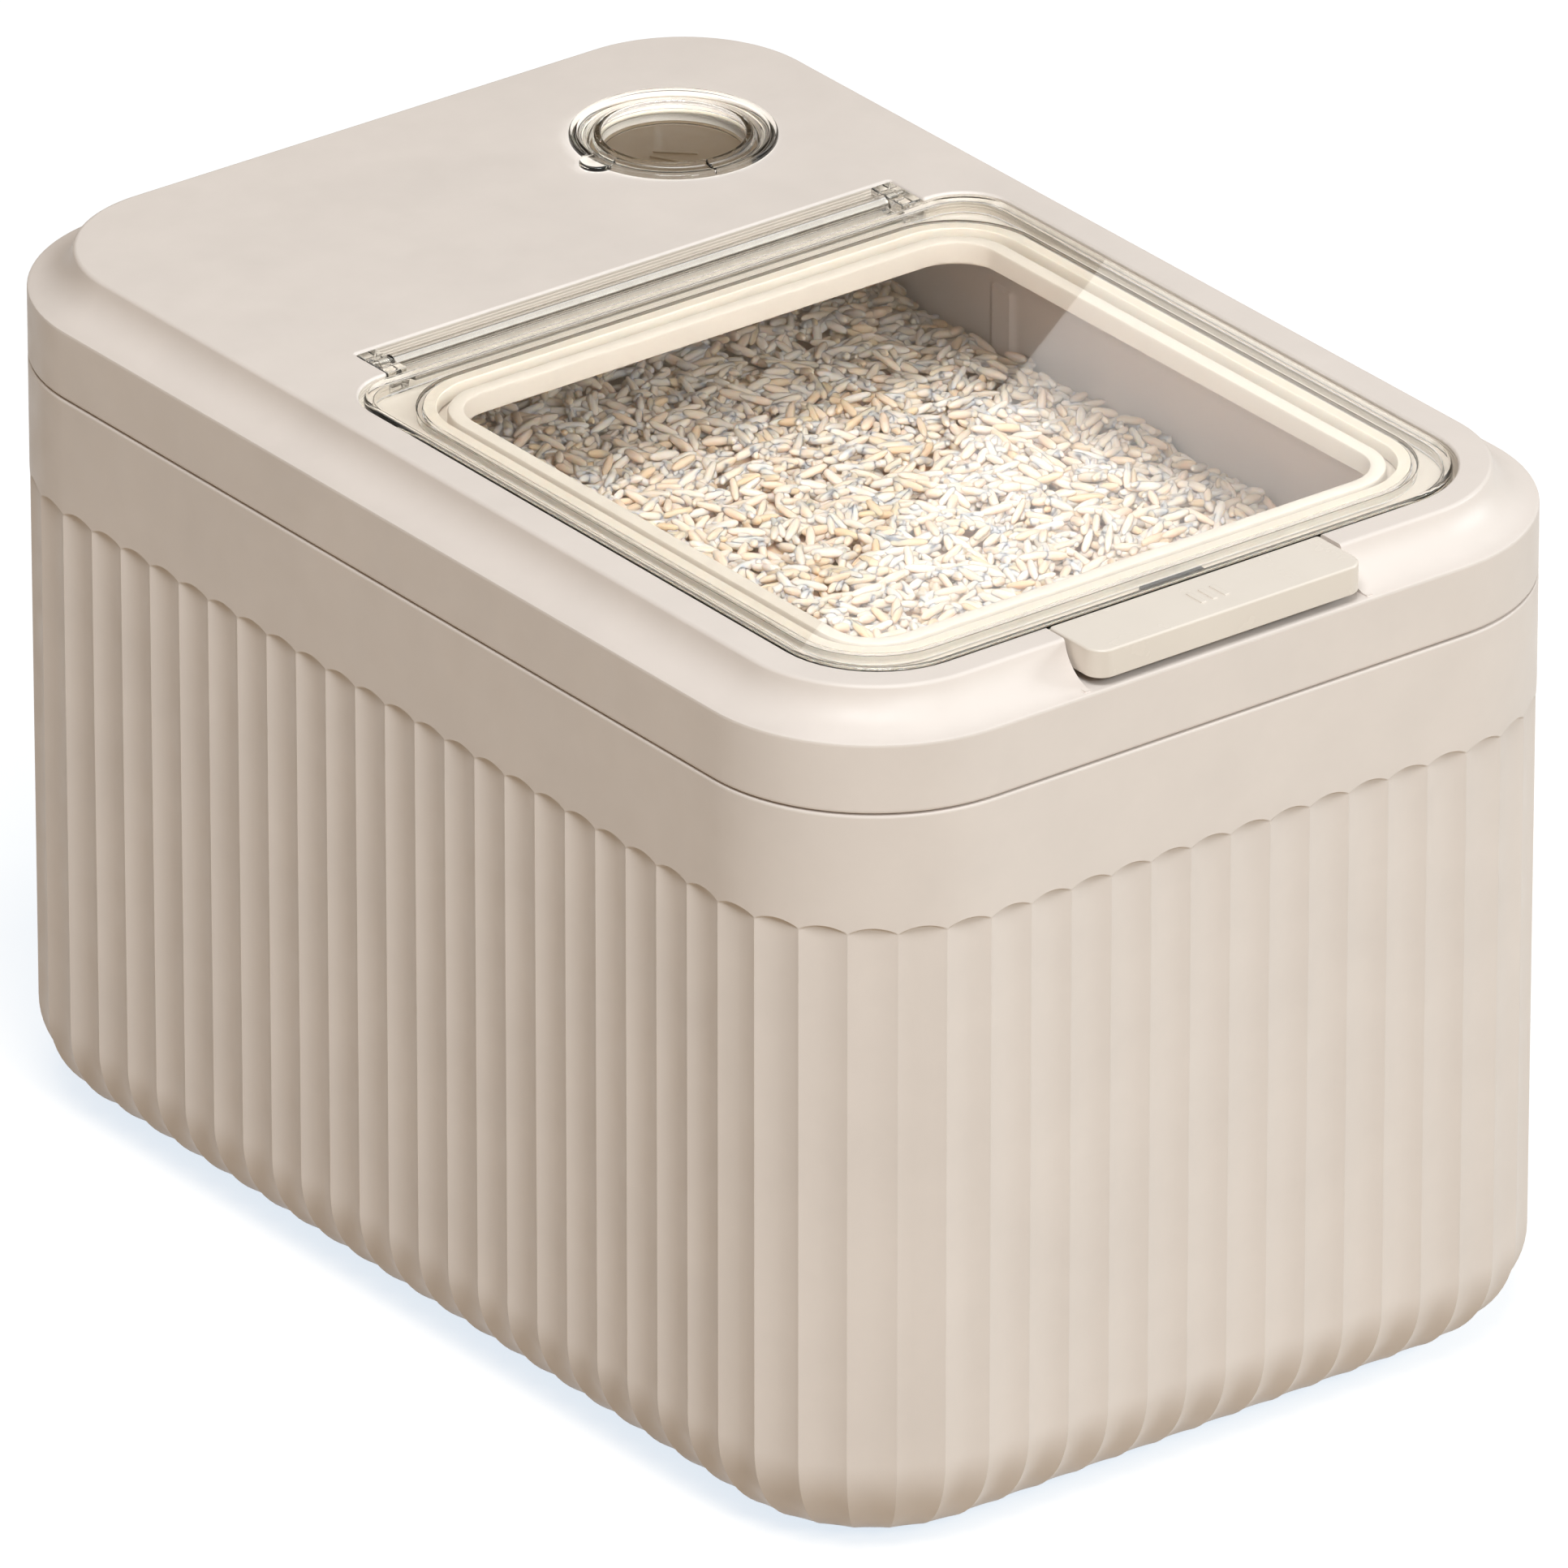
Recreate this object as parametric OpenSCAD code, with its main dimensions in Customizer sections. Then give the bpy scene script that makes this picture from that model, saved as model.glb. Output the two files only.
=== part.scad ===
/* [Body] */
// Width of the bin across its sides
bin_w = 230; // [224:1:240]
// Depth of the bin from front to back
bin_d = 346; // [338:1:356]
// Height from the surface it stands on to the flat top of the lid
bin_h = 224; // [205:1:245]
// Radius of the upright corners
corner_r = 46; // [42:1:50]
// Radius that rounds the wall into the base
base_round = 26; // [18:1:30]
// Thickness of the tub's wall
wall = 3.4; // [3.2:0.1:4]
// Thickness of the tub's floor
floor_t = 3; // [2.4:0.1:4]

/* [Flutes] */
// Flutes in each quarter of the wall
flutes_per_quarter = 23; // [20:1:25]
// Depth of a flute
flute_depth = 1.3; // [0.8:0.1:1.5]
// Flat left on the crest between two flutes
crest_land = 0.6; // [0.4:0.1:1]
// Height of the smooth band above the flutes
band_h = 29.2; // [20:0.1:45]

/* [Lid] */
// Height of the lid from its parting line to its flat top
lid_h = 27.8; // [27.4:0.1:28.4]
// Radius of the hollow moulding round the lid's edge
cove_r = 11.2; // [10.6:0.1:11.6]
// Thickness of the lid's shell
shell_t = 2.4; // [2.2:0.1:2.6]
// Shadow gap at the parting line
split_gap = 0.6; // [0.4:0.1:1]

/* [Window] */
// Half the width of the window recess
recess_half_w = 95; // [93:0.5:96]
// Front edge of the window recess, from the bin's centre
recess_front = 154.5; // [153:0.5:155]
// Back edge of the window recess, from the bin's centre
recess_back = 46; // [44:0.5:47]
// Width of the rim between the recess and the opening
rim_w = 18.1; // [17.5:0.1:19]
// Thickness of the clear panel
panel_t = 2.4; // [2:0.1:2.6]
// Gap between the panel and the recess
panel_gap = 1.2; // [0.8:0.1:1.6]

/* [Hinge] */
// Radius of the panel's hinge barrel
barrel_r = 2.5; // [2.3:0.1:2.6]
// Radius of the steel hinge pin
pin_r = 1.2; // [1:0.1:1.3]
// Half the length of the hinge barrel
barrel_half = 73; // [70:0.5:74]
// Distance from the recess's back edge to the hinge axis
hinge_setback = 7.6; // [7.4:0.1:8]

/* [Button] */
// Half the width of the push button
button_half_w = 39.5; // [34:0.5:42]
// Travel of the push button
button_travel = 2; // [1.6:0.1:2]
// Height of the button's front face
button_h = 7.2; // [6.6:0.1:7.4]

/* [Dial] */
// Distance of the dial from the centre line
dial_x = 53.2; // [45:0.1:60]
// Distance of the dial behind the bin's centre
dial_y = 110; // [104:0.5:116]
// Outer radius of the dial ring
dial_r = 25.2; // [24.8:0.1:25.6]
// Radius of the dial's dished centre
dial_bowl_r = 17.4; // [16:0.1:18]

/* [Contents] */
// Height of the rice at the tub's wall
rice_h = 173; // [60:1:175]
// Rise of the heap in the middle of the rice
rice_heap = 3; // [1:0.5:4]
// Height of the small mounds all over the rice
mound_h = 2.8; // [2:0.1:3]

/* [Hidden] */
$fn = 96;
eps = 0.01;

cream = [0.90, 0.87, 0.82];
clear_plastic = [0.86, 0.85, 0.82, 0.35];
silicone = [0.93, 0.90, 0.85];
steel = [0.75, 0.75, 0.76];
taupe = [0.58, 0.51, 0.43];
rubber = [0.35, 0.33, 0.31];

half_w = bin_w / 2;
half_d = bin_d / 2;
top_z = bin_h;
split_z = top_z - lid_h;
flute_top_z = split_z - band_h;

// Tub
tub_z = 1.2;
spigot_out = 3;
spigot_in = 5.4;
spigot_top_z = split_z + 9.4;
spigot_base_z = split_z - 5;
level_rib_y = 56;
level_rib_w = 8;
level_rib_proud = 1;

// Flutes: arc length along a quarter of the wall, from the middle of the front
run_x = half_w - corner_r;
run_y = half_d - corner_r;
run_arc = PI * corner_r / 2;
flute_pitch = (run_x + run_arc + run_y) / flutes_per_quarter;
flute_chord = flute_pitch - crest_land;
flute_r = (pow(flute_chord / 2, 2) + pow(flute_depth, 2)) / (2 * flute_depth);

// Feet
foot_r = 9;
foot_h = 2.6;
foot_x = 70;
foot_y = 128;

// Lid shell
cove_z = top_z + 1.6;
rim_z = cove_z - cove_r;
ledge_z = top_z - 6.6;
ledge_t = 2;
tray_t = 1.6;
front_corner_r = 26;
back_corner_r = 14;
lip_w = 4;
rim_foot_w = lip_w + 1;
lip_z = top_z - 2.9;
open_r = 11;
open_half_w = recess_half_w - rim_w;
open_front = recess_front - rim_w - 2.1;
open_back = recess_back - rim_w - 1.2;

// Rice
heap_r = 90;
mound_pitch = 22;

// Liner under the lid
liner_top_z = ledge_z - ledge_t - 0.2;
liner_t = 1.6;
liner_inset = 9;
plug_base_z = top_z - 25.1;
seal_z = top_z - 24.1;
seal_h = 2.8;
seal_out = 5.7;
seal_flange = 6.6;
screw_spots = [
  [100.5, -105], [100.5, -15], [100.5, 75], [62, 153],
  [-100.5, -105], [-100.5, -15], [-100.5, 75], [-62, 153]
];
screw_r = 1.4;
screw_length = 6;
screw_head_r = 2.6;
screw_head_h = 1.6;
screw_gap = 0.1;
boss_r = 2.9;

// Hinge
hinge_y = recess_back + hinge_setback;
hinge_z = top_z - barrel_r - 0.1;
hinge_bay_half = 79.6;
hinge_bay_back = hinge_y + 5.7;
hinge_clear = 0.05;
web_t = 2;
cap_gap = 0.3;
cap_pocket_r = 2.9;
torsion_r = 1.75;
torsion_length = 3.4;

// Panel
panel_back = recess_back - panel_gap;
skirt_t = 2.2;
skirt_z = top_z - 6;
rib_in = 6.5;
rib_out = 9.6;
ridge_w = 1;
flange_w = 1.4;

// Button bay and latch
button_skin = 1.8;
bay_half = button_half_w + 1;
bay_floor_t = 2;
bay_wall_z = top_z - button_skin - button_travel - 0.8;
bay_under_z = rim_z - bay_floor_t;
button_back = recess_front + 0.2;
button_front = half_d - 0.2;
button_corner_r = 4.5;
post_x = 27;
post_y = -165;
post_r = 2;
post_drop = 3.4;
running_gap = 0.08;
spring_r = 3.1;
spring_wire_r = 0.3;
spring_turns = 5;
leg_y = -164.5;
leg_half_w = 5;
leg_t = 3;
leg_bend_z = rim_z - 3.2;
leg_drop = 7;
leg_gap = 0.3;
latch_z = rim_z - 7.8;
latch_t = 2.4;
latch_half_w = 12;
latch_nose_y = -151.5;
latch_nose_half_w = 8;
latch_shoulder_y = -155.6;
latch_front_y = -166.6;
guide_x = 10.5;
guide_back_y = -157;
guide_gap = 0.2;
catch_slot_back_y = -148.4;
catch_half_w = 9;
catch_bottom_z = latch_z - 2.3;
barb_top_z = latch_z - 0.3;
catch_t = 1.6;
cover_half_w = 20.5;
cover_back_y = -147.6;
cover_front_y = -161.6;
cover_z = latch_z - 6.2;
cover_t = 1.2;
cover_wall = 1.4;
cover_post_x = 16;
cover_post_y = -156;
cover_post_r = 2.6;

// Dial and desiccant box
well_r = dial_r - 1.6;
well_t = 1.8;
well_z = top_z - 11;
well_shelf_t = 2;
shelf_r = well_r - 2.3;
ring_proud = 1.6;
ring_lift = 0.3;
ring_skirt_r = well_r - 0.6;
disc_z = top_z - 6.6;
disc_t = 1.8;
groove_z = top_z - 3;
box_r = shelf_r - 0.4;
box_flange_r = well_r - 0.4;
box_z = top_z - 24.5;
lobe_r = 4.4;
lobe_reach = dial_r - 0.6;
lobe_angle = 185;
bowl_wall = 1.4;
skirt_wall = 1.8;
groove_d = 0.9;
oring_r = 0.6;
pointer_angle = -52;
box_wall = 1.4;
flange_t = 1.6;
sachet_r = 12;
sachet_h = 7;

// Rounded rectangle with one corner radius
module rounded_rect(hx, hy, r) {
  square([2 * hx, 2 * (hy - r)], center = true);
  square([2 * (hx - r), 2 * hy], center = true);
  for (sx = [-1, 1], sy = [-1, 1])
    translate([sx * (hx - r), sy * (hy - r)]) circle(r);
}

// Rounded rectangle from y0 to y1, with its own radius at the front and at the back
module framed_rect(hx, y0, y1, r_front, r_back) {
  translate([-hx, y0 + r_front]) square([2 * hx, y1 - y0 - r_front - r_back]);
  translate([-hx + r_front, y0]) square([2 * (hx - r_front), r_front + eps]);
  translate([-hx + r_back, y1 - r_back - eps]) square([2 * (hx - r_back), r_back + eps]);
  for (s = [-1, 1]) {
    translate([s * (hx - r_front), y0 + r_front]) circle(r_front);
    translate([s * (hx - r_back), y1 - r_back]) circle(r_back);
  }
}

// Plate of the bin's plan, moved in from the wall by inset, between two heights
module plan_plate(inset, z0, z1) {
  translate([0, 0, z0])
    linear_extrude(z1 - z0) rounded_rect(half_w - inset, half_d - inset, corner_r - inset);
}

// Ring of the bin's plan between two insets and two heights
module plan_ring(out_inset, in_inset, z0, z1) {
  difference() {
    plan_plate(out_inset, z0, z1);
    plan_plate(in_inset, z0 - 1, z1 + 1);
  }
}

// Window recess outline, grown outwards by grow
module recess_outline(grow) {
  framed_rect(recess_half_w + grow, -recess_front - grow, recess_back + grow,
    front_corner_r + grow, back_corner_r + grow);
}

// Opening outline, grown outwards by grow
module opening_outline(grow) {
  framed_rect(open_half_w + grow, -open_front - grow, open_back + grow, open_r + grow, open_r + grow);
}

// Half section of a block with a rounded lower edge: r wide, h high
module edge_section(r, round, h) {
  translate([0, round]) square([r, h - round]);
  square([r - round, round]);
  translate([r - round, round]) intersection() {
    circle(round);
    translate([0, -round]) square(round);
  }
}

// Block of the bin's plan with its lower edge rounded, from z0 up to z1
module rounded_block(inset, round, z0, z1) {
  r = corner_r - inset;
  h = z1 - z0;
  translate([0, 0, z0]) {
    for (q = [0 : 3])
      translate([(q == 0 || q == 3 ? 1 : -1) * run_x, (q < 2 ? 1 : -1) * run_y, 0])
        rotate([0, 0, 90 * q]) rotate_extrude(angle = 90) edge_section(r, round, h);
    for (q = [0 : 1])
      rotate([0, 0, 180 * q]) translate([run_x, 0, 0]) rotate([90, 0, 0])
        translate([0, 0, -run_y]) linear_extrude(2 * run_y) edge_section(r, round, h);
    for (q = [0 : 1])
      rotate([0, 0, 180 * q]) translate([0, run_y, 0]) rotate([90, 0, 90])
        translate([0, 0, -run_x]) linear_extrude(2 * run_x) edge_section(r, round, h);
    translate([-run_x, -run_y, 0]) cube([2 * run_x, 2 * run_y, h]);
  }
}

// Place and heading of a point on the quarter wall, from its arc length
function wall_point(s) =
  s < run_x ? [s, -half_d, -90] :
  s < run_x + run_arc ? let (a = 90 * (s - run_x) / run_arc)
    [run_x + corner_r * sin(a), -run_y - corner_r * cos(a), a - 90] :
  [half_w, -run_y + s - run_x - run_arc, 0];

// Round bars that cut the flutes of the whole wall, up to the height z1
module flute_cutters(z1) {
  reach = flute_r - flute_depth;
  for (mx = [0, 1], my = [0, 1])
    mirror([mx, 0, 0]) mirror([0, my, 0])
      for (i = [0 : flutes_per_quarter - 1]) {
        p = wall_point((i + 0.5) * flute_pitch);
        translate([p[0] + reach * cos(p[2]), p[1] + reach * sin(p[2]), 0]) cylinder(h = z1, r = flute_r);
      }
}

// Coil of round wire along +Z
module coil(coil_r, wire_r, length, turns) {
  sides = 6;
  steps = 14;
  count = turns * steps;
  ring = function(k) let (a = 360 * k / steps)
    [for (j = [0 : sides - 1]) let (b = 360 * j / sides, r = coil_r + wire_r * cos(b))
      [r * cos(a), r * sin(a), wire_r * sin(b) + wire_r + (length - 2 * wire_r) * k / count]];
  points = [for (k = [0 : count]) each ring(k)];
  tube = [for (k = [0 : count - 1], j = [0 : sides - 1]) let (n = (j + 1) % sides)
    [k * sides + j, k * sides + n, (k + 1) * sides + n, (k + 1) * sides + j]];
  start = [[for (j = [sides - 1 : -1 : 0]) j]];
  end = [[for (j = [0 : sides - 1]) count * sides + j]];
  polyhedron(points, concat(start, tube, end), convexity = 10);
}

// One-piece fluted tub with a spigot that the lid sits over
module tub() {
  color(cream) difference() {
    union() {
      difference() {
        rounded_block(0, base_round, tub_z, split_z);
        flute_cutters(flute_top_z);
        rounded_block(wall, base_round - wall, tub_z + floor_t, split_z + 1);
      }
      plan_ring(spigot_out, spigot_in, spigot_base_z, spigot_top_z);
      for (s = [-1, 1])
        translate([s * (half_w - wall - level_rib_proud / 2), level_rib_y, split_z / 2 + 20])
          cube([level_rib_proud + eps, level_rib_w, split_z - 60], center = true);
    }
    for (sx = [-1, 1], sy = [-1, 1])
      translate([sx * foot_x, sy * foot_y, 0]) cylinder(h = foot_h, r = foot_r + 0.1);
  }
}

// The contents: loose rice, level with a shallow heap
module rice() {
  inset = wall + level_rib_proud + 0.3;
  round = base_round - inset;
  level = rice_h - mound_h / 2;
  cap_r = (heap_r * heap_r + rice_heap * rice_heap) / (2 * rice_heap);
  color([0.93, 0.90, 0.83]) union() {
    rounded_block(inset, round, tub_z + floor_t + 0.1, level);
    translate([0, 0, level - 1]) intersection() {
      cylinder(h = rice_heap + 2, r = heap_r);
      translate([0, 0, 1 + rice_heap - cap_r]) sphere(cap_r, $fn = 360);
    }
    intersection() {
      translate([-half_w, -half_d, level - 1]) cube([bin_w, bin_d, rice_heap + mound_h + 2]);
      for (j = [-7 : 7], i = [-5 : 5])
        rice_mound([(i + (j % 2 == 0 ? 0 : 0.5)) * mound_pitch, j * mound_pitch], inset, level,
          mound_h * (0.82 + 0.18 * sin(137 * i + 71 * j)));
    }
  }
}

// One mound of rice, h high over the heap, left out where it would reach the wall
module rice_mound(p, inset, level, h) {
  x = max(abs(p[0]) - half_w + corner_r, 0);
  y = max(abs(p[1]) - half_d + corner_r, 0);
  d = min(norm(p) / heap_r, 1);
  mound_r = mound_pitch * 0.46;
  ball_r = (mound_r * mound_r + h * h) / (2 * h);
  if (norm([x, y]) < corner_r - inset - mound_pitch * 0.65)
    translate([p[0], p[1], level + rice_heap * (1 - d * d) + h - ball_r]) sphere(ball_r, $fn = 64);
}

// Four rubber feet set into pockets under the tub
module foot_pads() {
  color(rubber)
    for (sx = [-1, 1], sy = [-1, 1])
      translate([sx * foot_x, sy * foot_y, 0]) rotate_extrude()
        polygon([[0, 0], [foot_r - 0.5, 0], [foot_r, 0.5], [foot_r, foot_h], [0, foot_h]]);
}

// Sweep of the hollow moulding round the lid's edge, with radius r
module cove(r) {
  for (q = [0 : 3])
    translate([(q == 0 || q == 3 ? 1 : -1) * run_x, (q < 2 ? 1 : -1) * run_y, cove_z])
      rotate([0, 0, 90 * q]) rotate_extrude(angle = 90) translate([corner_r, 0]) circle(r);
  for (s = [-1, 1]) {
    translate([s * half_w, run_y, cove_z]) rotate([90, 0, 0]) cylinder(h = 2 * run_y, r = r);
    translate([-run_x, s * half_d, cove_z]) rotate([0, 90, 0]) cylinder(h = 2 * run_x, r = r);
  }
}

// Outer form of the lid, and the hollow inside it
module lid_form(inset, z0, z1, r) {
  difference() {
    plan_plate(inset, z0, z1);
    cove(r);
  }
}

// Flat box between two corners
module box(low, high) {
  translate(low) cube(high - low);
}

// Lid shell with the recesses for window, hinge, button and dial
module lid_frame() {
  color(cream) difference() {
    union() {
      difference() {
        lid_form(0, split_z + split_gap, top_z, cove_r);
        lid_form(shell_t, split_z - 1, top_z - shell_t, cove_r + shell_t);
      }
      translate([0, 0, ledge_z - ledge_t]) linear_extrude(top_z - 1 - ledge_z + ledge_t)
        recess_outline(tray_t);
      box([-hinge_bay_half - tray_t, recess_back - 4, ledge_z - ledge_t],
        [hinge_bay_half + tray_t, hinge_bay_back + tray_t, top_z - 1]);
      intersection() {
        lid_form(0, split_z + split_gap, top_z, cove_r);
        box([-bay_half - tray_t, -half_d, rim_z - bay_floor_t],
          [bay_half + tray_t, -recess_front, top_z]);
      }
      for (p = screw_spots)
        translate([p[0], p[1], liner_top_z]) cylinder(h = top_z - 1.4 - liner_top_z, r = boss_r);
      for (s = [-1, 1]) {
        translate([s * cover_post_x, cover_post_y, cover_z + cover_t])
          cylinder(h = ledge_z - 1 - cover_z - cover_t, r = cover_post_r);
        box([s * guide_x - 1.5, guide_back_y - 4, latch_z + latch_t + guide_gap],
          [s * guide_x + 1.5, guide_back_y, rim_z - 1]);
      }
    }
    translate([0, 0, ledge_z]) linear_extrude(top_z) recess_outline(0);
    translate([0, 0, split_z]) linear_extrude(top_z) opening_outline(rim_foot_w);
    box([-hinge_bay_half, recess_back - 6, ledge_z], [hinge_bay_half, hinge_bay_back, top_z + 1]);
    box([-bay_half, -half_d - 1, rim_z], [bay_half, -recess_front - tray_t, top_z + 1]);
    box([-bay_half, -recess_front - tray_t - 1, bay_wall_z], [bay_half, -recess_front + 1, top_z + 1]);
    translate([dial_x, dial_y, well_z - 1]) cylinder(h = top_z, r = well_r + well_t);
    for (p = screw_spots)
      translate([p[0], p[1], liner_top_z - 1]) cylinder(h = screw_length, r = screw_r + screw_gap);
    for (s = [-1, 1]) {
      translate([s * post_x, post_y, bay_under_z - 1])
        cylinder(h = bay_floor_t + 2, r = post_r + running_gap);
      translate([s * cover_post_x, cover_post_y, cover_z])
        cylinder(h = screw_length + 1, r = screw_r + screw_gap);
    }
    box([-leg_half_w - leg_gap, leg_y - leg_t / 2 - leg_gap, bay_under_z - 2],
      [leg_half_w + leg_gap, leg_y + leg_t / 2 + leg_gap, rim_z + 1]);
    box([-catch_half_w - 1, -recess_front + 0.3, ledge_z - ledge_t - 1],
      [catch_half_w + 1, catch_slot_back_y, ledge_z + 1]);
  }
}

// Raised rim round the window's opening, set into the ledge of the lid frame
module window_rim() {
  foot_z = ledge_z - ledge_t;
  color(cream) difference() {
    union() {
      translate([0, 0, foot_z]) linear_extrude(ledge_t) opening_outline(rim_foot_w);
      translate([0, 0, foot_z]) linear_extrude(lip_z - foot_z) opening_outline(lip_w);
    }
    translate([0, 0, split_z]) linear_extrude(top_z) opening_outline(0);
  }
}

// Cup for the dial and the desiccant box, set into the top of the lid frame
module dial_well() {
  color(cream) translate([dial_x, dial_y, well_z]) difference() {
    cylinder(h = top_z - well_z, r = well_r + well_t);
    translate([0, 0, well_shelf_t]) cylinder(h = top_z, r = well_r);
    translate([0, 0, -1]) cylinder(h = top_z, r = shelf_r);
  }
}

// Plate that closes the lid's underside, with the plug that carries the seal
module lid_liner() {
  z1 = liner_top_z;
  color(cream) difference() {
    union() {
      plan_plate(liner_inset, z1 - liner_t, z1);
      plan_ring(liner_inset, liner_inset + 2, plug_base_z, z1 - eps);
      plan_ring(seal_flange, liner_inset + 2, plug_base_z, seal_z);
      plan_ring(seal_flange, liner_inset + 2, seal_z + seal_h, seal_z + seal_h + 1);
    }
    translate([0, 0, split_z]) linear_extrude(top_z) opening_outline(3.5);
    translate([dial_x, dial_y, split_z]) cylinder(h = top_z, r = well_r + well_t + 0.3);
    for (p = screw_spots)
      translate([p[0], p[1], split_z]) cylinder(h = top_z, r = screw_r + 0.3);
    box([-cover_half_w - 0.5, -half_d, seal_z + seal_h + 1.1],
      [cover_half_w + 0.5, cover_back_y + 0.3, top_z]);
    box([-bay_half - tray_t - 0.3, -half_d, rim_z - post_drop - button_travel - 0.4],
      [bay_half + tray_t + 0.3, -recess_front + 0.3, top_z]);
  }
}

// Silicone ring round the plug, which meets the inside of the tub's spigot
module lid_seal() {
  color(silicone)
    plan_ring(seal_out, liner_inset, seal_z + 0.1, seal_z + seal_h - 0.1);
}

// Pan-head screw pointing up from z, in the hole above it
module pan_screw(z) {
  translate([0, 0, z - screw_head_h]) cylinder(h = screw_head_h, r = screw_head_r);
  translate([0, 0, z - eps]) cylinder(h = screw_length, r = screw_r);
}

// Screws that hold the liner to the lid
module lid_screws() {
  color(steel)
    for (p = screw_spots)
      translate([p[0], p[1], 0]) pan_screw(liner_top_z - liner_t);
}

// Clear flip lid: flat plate, skirt, gasket flange and hinge barrel in one moulding
module window_panel() {
  color(clear_plastic) difference() {
    union() {
      translate([0, 0, top_z - panel_t]) linear_extrude(panel_t) recess_outline(-panel_gap);
      translate([0, 0, skirt_z]) linear_extrude(top_z - 1 - skirt_z) difference() {
        recess_outline(-panel_gap);
        recess_outline(-panel_gap - skirt_t);
      }
      translate([0, 0, skirt_z + 0.8]) linear_extrude(top_z - 1 - skirt_z - 0.8) difference() {
        opening_outline(rib_out + 0.2 + flange_w);
        opening_outline(rib_out + 0.2);
      }
      box([-barrel_half, panel_back - 1, hinge_z - web_t], [barrel_half, hinge_y, hinge_z]);
      translate([-barrel_half, hinge_y, hinge_z]) rotate([0, 90, 0])
        cylinder(h = 2 * barrel_half, r = barrel_r);
    }
    translate([-half_w, hinge_y, hinge_z]) rotate([0, 90, 0])
      cylinder(h = bin_w, r = pin_r + hinge_clear);
  }
}

// Silicone ring with two fine ridges, under the clear panel
module window_gasket() {
  z0 = ledge_z + 0.3;
  color(silicone) difference() {
    translate([0, 0, z0]) linear_extrude(top_z - panel_t - z0) opening_outline(rib_out);
    translate([0, 0, z0 - 1]) linear_extrude(top_z) opening_outline(rib_in);
    translate([0, 0, z0 - 1]) linear_extrude(1.8) difference() {
      opening_outline(rib_out - ridge_w);
      opening_outline(rib_in + ridge_w);
    }
  }
}

// Hook that hangs from the panel's front edge into the latch
module lid_catch() {
  front = -recess_front + panel_gap + skirt_t;
  color(clear_plastic) union() {
    box([-catch_half_w, front, catch_bottom_z], [catch_half_w, front + catch_t, top_z - panel_t]);
    box([-catch_half_w, front - 2, catch_bottom_z], [catch_half_w, front + eps, barb_top_z]);
  }
}

// Steel pin through the barrel and both hinge caps
module hinge_pin() {
  color(steel) translate([-hinge_bay_half + 0.8, hinge_y, hinge_z]) rotate([0, 90, 0])
    cylinder(h = 2 * (hinge_bay_half - 0.8), r = pin_r);
}

// Clear block that fills the end of the hinge bay and holds the pin; side is -1 or 1
module hinge_cap(side) {
  x0 = barrel_half + 0.4;
  x1 = hinge_bay_half - cap_gap;
  color(clear_plastic) mirror([side < 0 ? 1 : 0, 0, 0]) difference() {
    box([x0, recess_back + cap_gap, ledge_z], [x1, hinge_bay_back - cap_gap, top_z - 0.2]);
    translate([x0 - 1, hinge_y, hinge_z]) rotate([0, 90, 0])
      cylinder(h = hinge_bay_half - 0.8 - x0 + 1, r = pin_r);
    translate([x0 - 1, hinge_y, hinge_z - 0.7]) rotate([0, 90, 0])
      cylinder(h = torsion_length + 1.6, r = cap_pocket_r);
  }
}
module hinge_cap_left() { hinge_cap(-1); }
module hinge_cap_right() { hinge_cap(1); }

// Coil spring round the pin inside a hinge cap; side is -1 or 1
module torsion_spring(side) {
  color(steel) mirror([side < 0 ? 1 : 0, 0, 0])
    translate([barrel_half + 0.6, hinge_y, hinge_z]) rotate([0, 90, 0])
      coil(torsion_r, spring_wire_r, torsion_length, spring_turns);
}
module torsion_spring_left() { torsion_spring(-1); }
module torsion_spring_right() { torsion_spring(1); }

// Push button: hollow cap, two guide posts and the bent leg that drives the latch
module push_button() {
  z0 = top_z - button_h;
  y0 = -button_front;
  y1 = -button_back;
  bend = leg_bend_z;
  ya = leg_y - leg_t / 2;
  yb = leg_y + leg_t / 2;
  color(cream) union() {
    difference() {
      translate([0, 0, z0]) linear_extrude(button_h)
        framed_rect(button_half_w, y0, y1, button_corner_r, 0.8);
      translate([0, 0, z0 - 1]) linear_extrude(button_h - button_skin + 1)
        framed_rect(button_half_w - button_skin, y0 + button_skin, y1 - button_skin - tray_t,
          button_corner_r - button_skin, 0.5);
      box([-button_half_w - 1, y1 - tray_t, z0 - 1], [button_half_w + 1, y1 + 1, top_z - button_skin]);
    }
    for (s = [-1, 1])
      translate([s * post_x, post_y, rim_z - post_drop])
        cylinder(h = top_z - 1 - rim_z + post_drop, r = post_r);
    translate([-leg_half_w, 0, 0]) rotate([90, 0, 90]) linear_extrude(2 * leg_half_w)
      polygon([
        [ya, top_z - 1], [ya, bend], [ya + leg_drop, bend - leg_drop],
        [yb + leg_drop, bend - leg_drop], [yb, bend], [yb, top_z - 1]
      ]);
  }
}

// Return spring round a guide post of the button
module button_spring(side) {
  color(steel) translate([side * post_x, post_y, rim_z])
    coil(spring_r, spring_wire_r, top_z - button_skin - rim_z, spring_turns);
}
module button_spring_left() { button_spring(-1); }
module button_spring_right() { button_spring(1); }

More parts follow.
